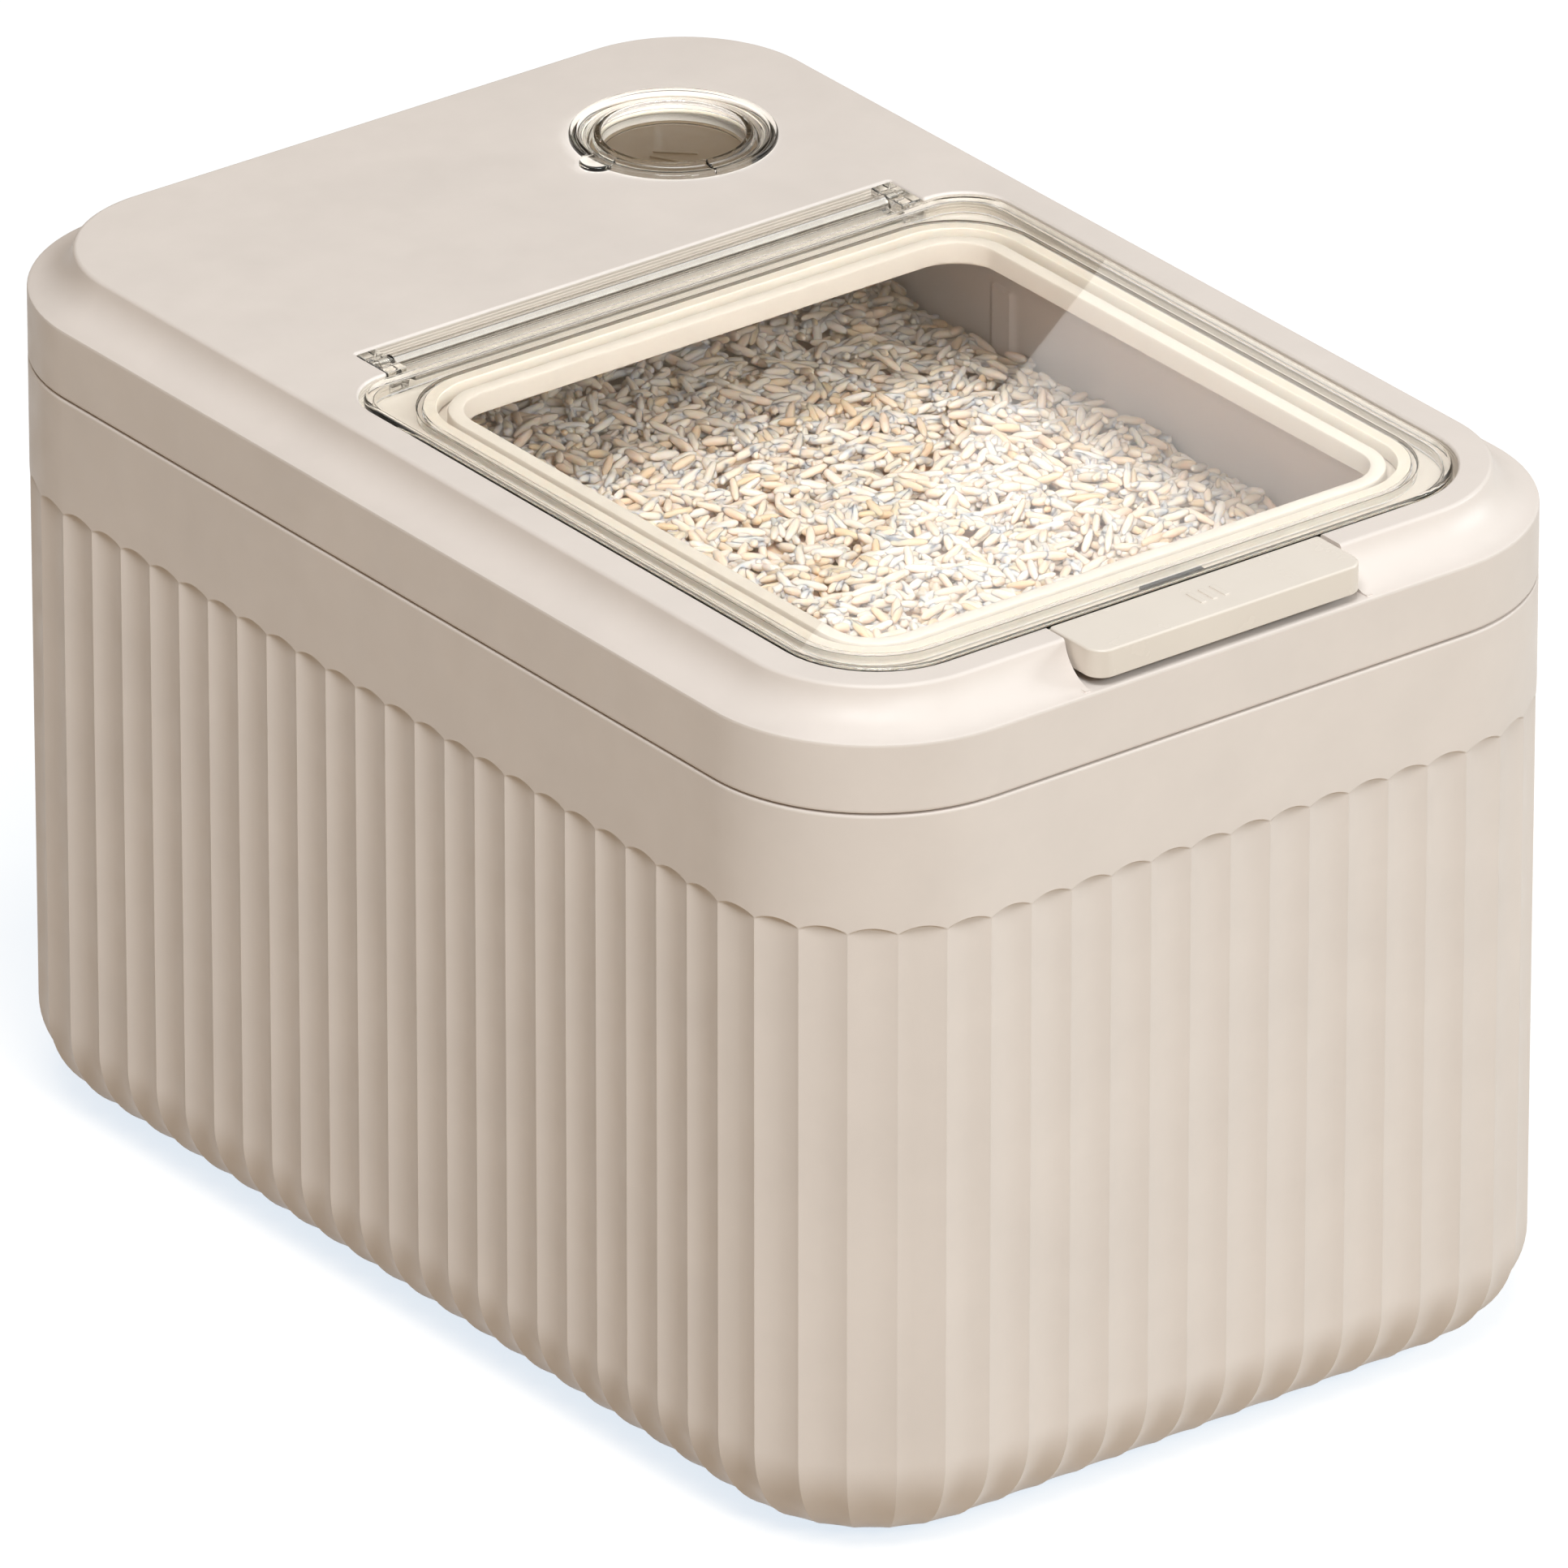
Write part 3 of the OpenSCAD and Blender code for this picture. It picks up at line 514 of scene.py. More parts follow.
def rounding(radius, steps):
    """Inset and drop of a rounded edge, from its level side to its upright side."""
    angles = [math.pi / 2 * k / steps for k in range(steps + 1)]
    return [(radius * (1 - math.sin(a)), radius * (1 - math.cos(a))) for a in angles]


def inside(point, polygon):
    """True if point lies in polygon."""
    x, y = point
    hit = False
    n = len(polygon)
    for i in range(n):
        x1, y1 = polygon[i]
        x2, y2 = polygon[i - 1]
        if (y1 > y) != (y2 > y) and x < (x2 - x1) * (y - y1) / (y2 - y1) + x1:
            hit = not hit
    return hit


def flat_region(shape, outer_ids, hole_ids, up=True):
    """Triangles of the level region inside one ring of points and outside others."""
    rings = [outer_ids] + hole_ids
    ids = [i for ring in rings for i in ring]
    points = [Vector(shape.verts[i][:2]) for i in ids]
    edges = []
    start = 0
    for ring in rings:
        n = len(ring)
        edges += [(start + k, start + (k + 1) % n) for k in range(n)]
        start += n
    result = delaunay_2d_cdt(points, edges, [], 1, 1e-6, True)
    coords, _, faces, source = result[:4]
    holes = [[shape.verts[i][:2] for i in ring] for ring in hole_ids]
    z = shape.verts[outer_ids[0]][2]
    index = []
    for k, origin in enumerate(source):
        index.append(ids[origin[0]] if origin else shape.ring([(coords[k].x, coords[k].y, z)])[0])
    for face in faces:
        centre = sum((coords[i] for i in face), Vector((0, 0))) / len(face)
        if any(inside(centre, hole) for hole in holes):
            continue
        tri = [index[i] for i in face]
        a, b, c = (Vector(shape.verts[i]) for i in tri[:3])
        if ((b - a).cross(c - a).z > 0) != up:
            tri.reverse()
        shape.faces.append(tuple(tri))


def boolean(obj, cutters, operation="DIFFERENCE"):
    """Applies exact booleans and removes the cutters."""
    obj.modifiers.clear()
    for cutter in cutters:
        mod = obj.modifiers.new("cut", "BOOLEAN")
        mod.operation = operation
        mod.solver = "EXACT"
        mod.object = cutter
    bpy.context.view_layer.update()
    depsgraph = bpy.context.evaluated_depsgraph_get()
    mesh = bpy.data.meshes.new_from_object(obj.evaluated_get(depsgraph))
    finish = obj.data.materials[0] if obj.data.materials else None
    obj.modifiers.clear()
    obj.data = mesh
    mesh.materials.clear()
    if finish:
        mesh.materials.append(finish)
        mesh.polygons.foreach_set("material_index", [0] * len(mesh.polygons))
    for cutter in cutters:
        bpy.data.objects.remove(cutter)
    return obj


def block(name, low, high, bevel=0.0, material=None):
    """Box between two corners, with its edges rounded by bevel."""
    bm = bmesh.new()
    bmesh.ops.create_cube(bm, size=1.0)
    for v in bm.verts:
        v.co = Vector([(low[i] + high[i]) / 2 + v.co[i] * (high[i] - low[i]) for i in range(3)]) * MM
    if bevel:
        bmesh.ops.bevel(bm, geom=bm.edges[:], offset=bevel * MM, segments=3, profile=0.5, affect="EDGES")
    mesh = bpy.data.meshes.new(name)
    bm.to_mesh(mesh)
    bm.free()
    if material:
        mesh.materials.append(material)
    obj = put_in_scene(name, mesh)
    return obj


def rod(name, start, end, radius, n=48):
    """Closed round rod between two points."""
    a, b = Vector(start), Vector(end)
    axis = (b - a).normalized()
    side = axis.orthogonal().normalized()
    other = axis.cross(side)
    ring = [side * math.cos(2 * math.pi * k / n) * radius + other * math.sin(2 * math.pi * k / n) * radius
            for k in range(n)]
    shape = Shape()
    ids = shape.loft([[a + v for v in ring], [b + v for v in ring]])
    shape.fill(list(reversed(ids[0])))
    shape.fill(ids[1])
    mesh = bpy.data.meshes.new(name)
    mesh.from_pydata([Vector(v) * MM for v in shape.verts], [], shape.faces)
    obj = put_in_scene(name, mesh)
    return obj


COVE_R = 11.2
COVE_START = math.radians(5.0)
COVE_END = math.radians(77.5)
COVE_Z = TOP_Z + 1.6
RIM_Z = COVE_Z - COVE_R
SHELL_T = 2.4
TRAY_T = 1.6
BAY_HALF = 40.5
LIP_W = 4.0
LIP_Z = TOP_Z - 2.9
LEDGE_T = 2.0
BAY_FLOOR_T = 2.0
BUTTON_HALF_W = 39.5
BUTTON_FRONT = -172.8
BUTTON_BACK = -154.7
BUTTON_SKIN = 1.8
POST_X = 27.0
POST_Y = -165.0
POST_R = 2.0
LEG_HALF_W = 5.0
LEG_FRONT = -166.0
LEG_BACK = -163.0
LEG_GAP = 0.3
WELL_R = 23.6
SHELF_R = 21.3
WELL_Z = TOP_Z - 11.0


def build_lid(material, painted_shade_material):
    """Lid shell: skirt, cove, plateau, recesses for window, hinge, dial and button."""
    bottom = LID_LOW[2]
    shape = Shape()
    profile = [(SHELL_T, bottom), (0.5, bottom), (0.18, bottom + 0.12), (0.03, bottom + 0.4),
               (0.0, bottom + 0.8), (0.0, RIM_Z - 0.9), (0.03, RIM_Z - 0.45), (0.16, RIM_Z - 0.16),
               (0.45, RIM_Z - 0.02)]
    for k in range(0, 15):
        a = COVE_START + (COVE_END - COVE_START) * k / 14
        profile.append((COVE_R * math.sin(a), COVE_Z - COVE_R * math.cos(a)))
    inset, z = profile[-1]
    rise = TOP_Z - z
    for k in range(1, 6):
        a = COVE_END * (1 - k / 5)
        drop = rise * (1 - math.cos(a)) / (1 - math.cos(COVE_END))
        reach = rise * (math.sin(COVE_END) - math.sin(a)) / (1 - math.cos(COVE_END))
        profile.append((inset + reach, TOP_Z - drop))
    rings = [at(plan_ring(i), z) for i, z in profile]
    outside = shape.loft(rings)
    plateau = outside[-1]

    # dial well
    profile = [(WELL_R + inset, TOP_Z - drop) for inset, drop in rounding(0.5, 4)]
    profile += [(WELL_R, WELL_Z + 2), (SHELF_R, WELL_Z + 2), (SHELF_R, WELL_Z), (WELL_R + 1.8, WELL_Z),
                (WELL_R + 1.8, TOP_Z - SHELL_T)]
    well = shape.loft([at(circle(DIAL, r), z) for r, z in profile])

    # window and hinge recess
    profile = [(inset, TOP_Z - drop) for inset, drop in rounding(0.6, 4)]
    for k in range(WALL_LINES):
        z = TOP_Z - 1.0 - k * (TOP_Z - LEDGE_Z - 1.8) / WALL_LINES
        profile += [(0.0, z), (0.2, z - 0.15), (0.2, z - 0.35), (0.0, z - 0.5)]
    profile += [(0.0, LEDGE_Z + 0.5), (-0.15, LEDGE_Z + 0.15), (-0.5, LEDGE_Z)]
    walls = shape.loft([at(recess_and_bay(g), z) for g, z in profile])
    flat_region(shape, plateau, [well[0], walls[0]])
    under_z = LEDGE_Z - LEDGE_T
    profile = [(LIP_W + 0.4, LEDGE_Z), (LIP_W + 0.1, LEDGE_Z + 0.15), (LIP_W, LEDGE_Z + 0.5),
               (LIP_W, LIP_Z - 0.9), (LIP_W - 0.25, LIP_Z - 0.3), (LIP_W - 0.8, LIP_Z - 0.04),
               (LIP_W / 2, LIP_Z), (0.8, LIP_Z - 0.04), (0.25, LIP_Z - 0.3), (0.0, LIP_Z - 0.9),
               (0.0, under_z + 0.5), (0.15, under_z + 0.1), (0.6, under_z)]
    lip = shape.loft([at(opening(g), z) for g, z in profile])
    flat_region(shape, walls[-1], [lip[0]])

    # underside
    under = shape.loft([at(recess_and_bay(TRAY_T), z) for z in (under_z, TOP_Z - SHELL_T)])
    flat_region(shape, under[0], [lip[-1]], up=False)
    inner = [(SHELL_T, bottom)]
    for k in range(0, 9):
        a = math.asin(SHELL_T / (COVE_R + SHELL_T))
        a += (math.acos((COVE_Z - TOP_Z + SHELL_T) / (COVE_R + SHELL_T)) - a) * k / 8
        inner.append(((COVE_R + SHELL_T) * math.sin(a), COVE_Z - (COVE_R + SHELL_T) * math.cos(a)))
    ids = [outside[0]] + [shape.ring(at(plan_ring(i), z)) for i, z in inner[1:]]
    for a, b in zip(ids, ids[1:]):
        shape.strip(b, a)
    flat_region(shape, ids[-1], [under[-1], well[-1]], up=False)

    lid = new_object("lid_shell", shape.verts, shape.faces, material)
    fix_normals(lid)
    floor = block("bay", (-BAY_HALF - TRAY_T, -HALF_D + 1.2, RIM_Z - BAY_FLOOR_T),
                  (BAY_HALF + TRAY_T, RECESS[1], RIM_Z + 0.4))
    boolean(lid, [floor], "UNION")
    cutters = [
        block("c", (-BAY_HALF, -HALF_D - 5, RIM_Z), (BAY_HALF, RECESS[1] - TRAY_T, TOP_Z + 5)),
        block("c", (-BAY_HALF, RECESS[1] - TRAY_T - 1, TOP_Z - 4.6), (BAY_HALF, RECESS[1] + 1, TOP_Z + 5)),
        block("c", (-LEG_HALF_W - LEG_GAP, LEG_FRONT - LEG_GAP, RIM_Z - 6),
              (LEG_HALF_W + LEG_GAP, LEG_BACK + LEG_GAP, RIM_Z + 2)),
        block("c", (-10, RECESS[1] + 0.3, LEDGE_Z - 5), (10, -148.4, LEDGE_Z + 1)),
    ]
    for x in (-POST_X, POST_X):
        cutters.append(rod("c", (x, POST_Y, RIM_Z - 6), (x, POST_Y, RIM_Z + 2), POST_R + 0.08))
    boolean(lid, cutters)
    # faces in the window and hinge recess, under the clear lid, get a darker cream: painted shade of the
    # panel above
    lid.data.materials.append(painted_shade_material)
    painted_shade_outline = recess_and_bay(0.3)
    for face in lid.data.polygons:
        x, y, z = face.center / MM
        if under_z < z < TOP_Z - 0.6 and inside((x, y), painted_shade_outline):
            face.material_index = 1
    shade(lid, 32)
    return finish_piece(lid, "lid", "cream_plastic", "lid_frame", "window_rim", "dial_well")


# ---------------------------------------------------------------- window
def build_panel(material, edge):
    """Clear flip lid: plate, skirt, gasket flange and hinge barrel, with another finish on upright faces."""
    skirt_z = TOP_Z - SKIRT_H
    under_z = TOP_Z - PANEL_T
    g = -PANEL_GAP
    inner = g - SKIRT_T
    shape = Shape()
    profile = [(recess, g - inset, TOP_Z - drop) for inset, drop in rounding(1.1, 6)]
    profile += [(recess, g, skirt_z + 0.3), (recess, g - 0.1, skirt_z + 0.1), (recess, g - 0.3, skirt_z),
                (recess, inner + 0.3, skirt_z), (recess, inner + 0.1, skirt_z + 0.1),
                (recess, inner, skirt_z + 0.3), (recess, inner, under_z - 0.5),
                (recess, inner - 0.15, under_z - 0.15), (recess, inner - 0.5, under_z),
                (opening, FLANGE_OUT + 0.5, under_z), (opening, FLANGE_OUT + 0.15, under_z - 0.15),
                (opening, FLANGE_OUT, under_z - 0.5), (opening, FLANGE_OUT, skirt_z + 1.1),
                (opening, FLANGE_OUT - 0.2, skirt_z + 0.8), (opening, FLANGE_IN + 0.2, skirt_z + 0.8),
                (opening, FLANGE_IN, skirt_z + 1.1), (opening, FLANGE_IN, under_z - 0.2),
                (opening, FLANGE_IN - 0.2, under_z)]
    ids = shape.loft([at(outline(grow), z) for outline, grow, z in profile])
    shape.fill(ids[0])
    shape.fill(list(reversed(ids[-1])))
    panel = new_object("window_plate", shape.verts, shape.faces, material)
    fix_normals(panel)
    back = RECESS[2] - PANEL_GAP
    web = block("w", (-BARREL_HALF_W, back - 1.4, HINGE_Z - 2.0), (BARREL_HALF_W, HINGE_Y, HINGE_Z), 0.25)
    barrel = rod("b", (-BARREL_HALF_W, HINGE_Y, HINGE_Z), (BARREL_HALF_W, HINGE_Y, HINGE_Z), BARREL_R)
    boolean(panel, [web, barrel], "UNION")
    boolean(panel, [rod("p", (-120, HINGE_Y, HINGE_Z), (120, HINGE_Y, HINGE_Z), PIN_BORE_R)])
    shade(panel, 32)
    panel.data.materials.append(edge)
    for face in panel.data.polygons:
        face.material_index = 0 if abs(face.normal.z) > 0.5 else 1
    return finish_piece(panel, "flip_lid", "clear_plastic", "window_panel")


def build_gasket(material):
    """Silicone ring with two fine ridges, pressed against the rim."""
    z0 = LEDGE_Z + 0.3
    z1 = TOP_Z - PANEL_T
    profile = [(9.6, z1), (9.6, z0 + 0.4), (9.45, z0 + 0.1), (9.1, z0), (8.8, z0 + 0.1),
               (8.6, z0 + 0.5), (8.4, z0 + 0.8), (7.7, z0 + 0.8), (7.5, z0 + 0.5), (7.3, z0 + 0.1),
               (7.0, z0), (6.65, z0 + 0.1), (6.5, z0 + 0.4), (6.5, z1 - 0.3), (6.7, z1)]
    shape = Shape()
    ids = shape.loft([at(opening(g), z) for g, z in profile])
    shape.strip(ids[-1], ids[0])
    gasket = new_object("window_gasket_ring", shape.verts, shape.faces, material, 50)
    fix_normals(gasket)
    return finish_piece(gasket, "flip_lid", "silicone", "window_gasket")


def fix_normals(obj):
    bm = bmesh.new()
    bm.from_mesh(obj.data)
    bmesh.ops.recalc_face_normals(bm, faces=bm.faces[:])
    bm.to_mesh(obj.data)
    bm.free()


def build_hinge_caps(material):
    """Clear end blocks of the hinge bay, each with a bore and a spring pocket."""
    for side, name in ((-1, "left"), (1, "right")):
        x0, x1 = side * 73.4, side * 79.3
        low = (min(x0, x1), RECESS[2] + 0.3, LEDGE_Z)
        high = (max(x0, x1), HINGE_BAY_BACK - 0.3, TOP_Z - 0.2)
        cap = block("hinge_cap_" + name + "_clear", low, high, 0.55, material)
        spring_z = HINGE_Z - 0.7
        bore = rod("p", (side * 73, HINGE_Y, HINGE_Z), (side * 78.8, HINGE_Y, HINGE_Z), 1.22)
        pocket = rod("s", (side * 72.6, HINGE_Y, spring_z), (side * 77.4, HINGE_Y, spring_z), 2.9)
        boolean(cap, [bore, pocket])
        shade(cap, 32)
        finish_piece(cap, "lid", "clear_plastic", "hinge_cap_" + name)


# ---------------------------------------------------------------- dial
def lathe(name, centre, profile, material, n=144, angle=40.0, closed=True):
    """Turns a closed profile (radius, height) round a vertical axis."""
    shape = Shape()
    ids = shape.loft([at(circle(centre, r, n), z) for r, z in profile])
    if closed:
        shape.strip(ids[-1], ids[0])
    else:
        shape.fill(ids[0])
        shape.fill(ids[-1])
    obj = new_object(name, shape.verts, shape.faces, material, angle)
    fix_normals(obj)
    return obj


def arc(centre, radius, start, end, steps):
    """Points of an arc in a profile, angles in degrees."""
    return [(centre[0] + radius * math.cos(math.radians(start + (end - start) * k / steps)),
             centre[1] + radius * math.sin(math.radians(start + (end - start) * k / steps)))
            for k in range(steps + 1)]


def onto_dial(obj, shift, degrees):
    """Shifts a small piece, turns it round the dial's axis and puts it on the dial."""
    obj.data.transform(Matrix.Translation([v * MM for v in shift]))
    obj.data.transform(Matrix.Rotation(math.radians(degrees), 4, "Z"))
    obj.data.transform(Matrix.Translation((DIAL[0] * MM, DIAL[1] * MM, 0)))
    return obj


def build_dial(clear_finish, shade_brown):
    """Clear dial ring with its thumb lobe, and the dished disc with a pointer inside it."""
    low = TOP_Z + 0.3
    top = TOP_Z + 1.6
    disc_top = TOP_Z - 4.8
    profile = []
    profile += arc((24.6, top - 0.6), 0.6, 0, 90, 5)
    profile += arc((23.4, top - 0.45), 0.45, 90, 150, 3)
    profile += [(22.3, top - 0.55), (20.6, top - 0.62), (19.6, top - 0.5)]
    profile += arc((18.6, top - 0.5), 0.5, 30, 90, 3)
    profile += arc((17.9, top - 0.5), 0.5, 90, 180, 5)
    profile += [(17.4, disc_top + 0.2), (17.6, disc_top), (18.8, disc_top), (18.8, low - 0.2),
                (21.2, low - 0.2),
                (21.2, TOP_Z - 6.6), (21.4, TOP_Z - 6.8), (22.8, TOP_Z - 6.8), (23.0, TOP_Z - 6.6),
                (23.0, TOP_Z - 3.7), (22.1, TOP_Z - 3.6), (22.1, TOP_Z - 2.4), (23.0, TOP_Z - 2.3),
                (23.0, low), (25.0, low), (25.2, low + 0.2)]
    ring = lathe("dial_ring_clear", DIAL, profile, clear_finish)
    a = math.radians(185)
    cx, cy = DIAL[0] + 24.6 * math.cos(a), DIAL[1] + 24.6 * math.sin(a)
    lobe_profile = [(4.2, low), (4.4, low + 0.2)] + arc((3.8, top - 0.6), 0.6, 0, 90, 4)
    lobe = lathe("lobe", (cx, cy), [(4.1, low)] + lobe_profile[1:], clear_finish, 48, closed=False)
    boolean(ring, [lobe], "UNION")
    notch = block("n", (-3.0, -0.22, top - 1.0), (3.0, 0.22, top + 1.0))
    boolean(ring, [onto_dial(notch, (21.5, 0, 0), -103)])
    shade(ring, 35)
    finish_piece(ring, "dial", "clear_plastic", "dial_ring")

    # the disc's dark brown stands in for the shaded inside of the dial seen through clear plastic: painted
    # shade
    disc_z = TOP_Z - 6.6
    profile = [(20.7, disc_z), (20.9, disc_z + 0.2), (20.9, disc_z + 1.6), (20.7, disc_z + 1.8),
               (17.0, disc_z + 1.8), (16.4, disc_z + 1.5), (8.0, disc_z + 1.3), (0.4, disc_z + 1.25)]
    disc = lathe("dial_disc_dish", DIAL, profile, shade_brown, 144, 25, closed=False)
    bars = []
    for s in (-1, 1):
        bar = block("pointer", (-5.2, -0.35, 0.0), (5.6, 0.35, 0.5), 0.15)
        bars.append(onto_dial(bar, (0, 2.2 * s, disc_z + 1.2), -52 + 9 * s))
    boolean(disc, bars, "UNION")
    shade(disc, 30)
    finish_piece(disc, "dial", "taupe_plastic", "dial_disc")


# ---------------------------------------------------------------- button
def build_button(material):
    """Push button: a soft-edged hollow cap with posts, leg and three raised grip bars."""
    z0 = TOP_Z - 7.2
    plan = frame_corners(BUTTON_HALF_W, BUTTON_FRONT, BUTTON_BACK, 4.6, 0.9)
    skin = BUTTON_SKIN
    # the back wall stands one tray wall further in, so that the pressed button clears the tray
    hollow = frame_corners(BUTTON_HALF_W, BUTTON_FRONT, BUTTON_BACK - TRAY_T, 4.6, 0.9)
    shape = Shape()
    profile = [(plan, -inset, TOP_Z - drop) for inset, drop in rounding(0.55, 5)]
    profile += [(plan, 0, z0 + 0.35), (plan, -0.1, z0 + 0.1), (plan, -0.35, z0), (hollow, -skin + 0.2, z0),
                (hollow, -skin, z0 + 0.2), (hollow, -skin, TOP_Z - skin)]
    ids = shape.loft([at(corner_path(outline, grow), z) for outline, grow, z in profile])
    shape.fill(ids[0])
    shape.fill(list(reversed(ids[-1])))
    button = new_object("push_button_cap", shape.verts, shape.faces, material)
    fix_normals(button)
    over_tray = block("c", (-41, BUTTON_BACK - TRAY_T, z0 - 1), (41, -153, TOP_Z - skin))
    boolean(button, [over_tray])
    parts = [rod("post", (x, POST_Y, RIM_Z - 3.4), (x, POST_Y, TOP_Z - 1), POST_R)
             for x in (-POST_X, POST_X)]
    leg = Shape()
    bend, drop = RIM_Z - 3.2, 7.0
    section = [(LEG_FRONT, TOP_Z - 1), (LEG_FRONT, bend), (LEG_FRONT + drop, bend - drop),
               (LEG_BACK + drop, bend - drop), (LEG_BACK, bend), (LEG_BACK, TOP_Z - 1)]
    sides = leg.loft([[(x, y, z) for y, z in section] for x in (-LEG_HALF_W, LEG_HALF_W)])
    leg.fill(list(reversed(sides[0])))
    leg.fill(sides[1])
    leg = new_object("leg", leg.verts, leg.faces, material)
    fix_normals(leg)
    for k in (-1, 0, 1):
        x = k * 3.4
        low, high = (x - 0.75, -166.6, TOP_Z - 0.4), (x + 0.75, -160.6, TOP_Z + 0.28)
        parts.append(block("grip", low, high, 0.26))
    boolean(button, parts + [leg], "UNION")
    shade(button, 32)
    return finish_piece(button, "button", "cream_gloss", "push_button")


SPRING_R = 3.1
SPRING_WIRE_R = 0.3
SPRING_TURNS = 5


def build_button_spring(side, material):
    """Return spring round a guide post."""
    node = "button_spring_left" if side < 0 else "button_spring_right"
    post = (side * POST_X, POST_Y)
    sides, steps = 8, 24
    length = TOP_Z - BUTTON_SKIN - RIM_Z - 0.1
    count = SPRING_TURNS * steps
    rings = []
    for k in range(count + 1):
        a = 2 * math.pi * k / steps
        z = RIM_Z + SPRING_WIRE_R + (length - 2 * SPRING_WIRE_R) * k / count
        ring = []
        for j in range(sides):
            b = 2 * math.pi * j / sides
            r = SPRING_R + SPRING_WIRE_R * math.cos(b)
            x, y = post[0] + r * math.cos(a), post[1] + r * math.sin(a)
            ring.append((x, y, z + SPRING_WIRE_R * math.sin(b)))
        rings.append(ring)
    shape = Shape()
    ids = shape.loft(rings)
    shape.fill(list(reversed(ids[0])))
    shape.fill(ids[-1])
    spring = new_object(node + "_wire", shape.verts, shape.faces, material, 60)
    fix_normals(spring)
    finish_piece(spring, "lid", "steel", node)
    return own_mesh(spring)


# ---------------------------------------------------------------- materials
class Finish:
    """A material, or a world, built node by node."""

    def __init__(self, name, world=None):
        self.material = world or bpy.data.materials.new(name)
        self.material.use_nodes = True
        self.tree = self.material.node_tree
        self.tree.nodes.clear()
        self.out = self.add("ShaderNodeOutputWorld" if world else "ShaderNodeOutputMaterial")

    def add(self, kind, **sockets):
        node = self.tree.nodes.new(kind)
        for key, value in sockets.items():
            self.put(node, key.replace("_", " "), value)
        return node

    def put(self, node, key, value):
        socket = node.inputs[key]
        if isinstance(value, bpy.types.NodeSocket):
            self.tree.links.new(value, socket)
        else:
            socket.default_value = value

    def mix(self, share, first, second):
        node = self.tree.nodes.new("ShaderNodeMixShader")
        for socket, source in zip(node.inputs, (share, first.outputs[0], second.outputs[0])):
            self.tree.links.new(source, socket)
        return node

    def done(self, shader):
        """Ends the material with this shader."""
        self.tree.links.new(shader.outputs[0], self.out.inputs["Surface"])
        return self.material

    def noise(self, scale, detail=2.0, rough=0.5):
        place = self.add("ShaderNodeTexCoord").outputs["Object"]
        node = self.add("ShaderNodeTexNoise", Vector=place, Scale=scale, Detail=detail, Roughness=rough)
        return node.outputs["Fac"]

    def ramp(self, value, stops):
        node = self.add("ShaderNodeValToRGB", Fac=value)
        while len(node.color_ramp.elements) < len(stops):
            node.color_ramp.elements.new(0.5)
        for element, (place, colour) in zip(node.color_ramp.elements, stops):
            element.position = place
            element.color = (*colour, 1)
        return node.outputs["Color"]

    def span(self, value, low, high):
        node = self.add("ShaderNodeMapRange", Value=value)
        node.inputs["From Min"].default_value = 0.3
        node.inputs["From Max"].default_value = 0.7
        node.inputs["To Min"].default_value = low
        node.inputs["To Max"].default_value = high
        return node.outputs["Result"]

    def soften(self, shader, weight, radius, depth_mm):
        """Lets light scatter below the surface."""
        shader.inputs["Subsurface Weight"].default_value = weight
        shader.inputs["Subsurface Radius"].default_value = radius
        shader.inputs["Subsurface Scale"].default_value = depth_mm * MM

    def bump(self, height, strength, depth_mm):
        node = self.add("ShaderNodeBump", Strength=strength, Distance=depth_mm * MM, Height=height)
        return node.outputs["Normal"]


def shades(colour, spread):
    return [tuple(min(1.0, c * (1 + k * spread)) for c in colour) for k in (-1, 0, 1)]


def plastic(name, colour, rough, spread=0.03, grain=900.0, relief=0.10, depth=0.03, soft=0.0):
    """Moulded plastic: faint clouds in the colour, uneven gloss and the fine grain of the mould."""
    f = Finish(name)
    low, mid, high = shades(colour, spread)
    tint = f.ramp(f.noise(34.0, 5.0, 0.6), [(0.3, low), (0.5, mid), (0.7, high)])
    shader = f.add("ShaderNodeBsdfPrincipled", Base_Color=tint, IOR=1.46)
    f.put(shader, "Roughness", f.span(f.noise(120.0, 3.0), rough - 0.05, rough + 0.05))
    f.put(shader, "Normal", f.bump(f.noise(grain, 3.0, 0.6), relief, depth))
    if soft:
        f.soften(shader, soft, (1.0, 0.7, 0.5), 1.2)
    return f.done(shader)


def clear(name, tint, rough, ripple, passes):
    """Clear moulded plastic that lets part of the lamps' light through each surface."""
    f = Finish(name)
    shader = f.add("ShaderNodeBsdfPrincipled", Base_Color=(*tint, 1), IOR=1.49)
    shader.inputs["Transmission Weight"].default_value = 1.0
    f.put(shader, "Roughness", f.span(f.noise(60.0, 3.0), rough * 0.5, rough * 1.5))
    f.put(shader, "Normal", f.bump(f.noise(22.0, 1.0), ripple, 0.05))
    through = f.add("ShaderNodeBsdfTransparent", Color=(*[t * passes for t in tint], 1))
    path = f.add("ShaderNodeLightPath")
    return f.done(f.mix(path.outputs["Is Shadow Ray"], shader, through))


def steel(name):
    f = Finish(name)
    tint = f.ramp(f.noise(160.0, 4.0), [(0.3, (0.74, 0.70, 0.64)), (0.7, (0.84, 0.80, 0.74))])
    shader = f.add("ShaderNodeBsdfPrincipled", Base_Color=tint, Metallic=1.0)
    f.put(shader, "Roughness", f.span(f.noise(300.0, 3.0), 0.16, 0.26))
    f.put(shader, "Normal", f.bump(f.noise(1800.0, 2.0), 0.12, 0.01))
    return f.done(shader)


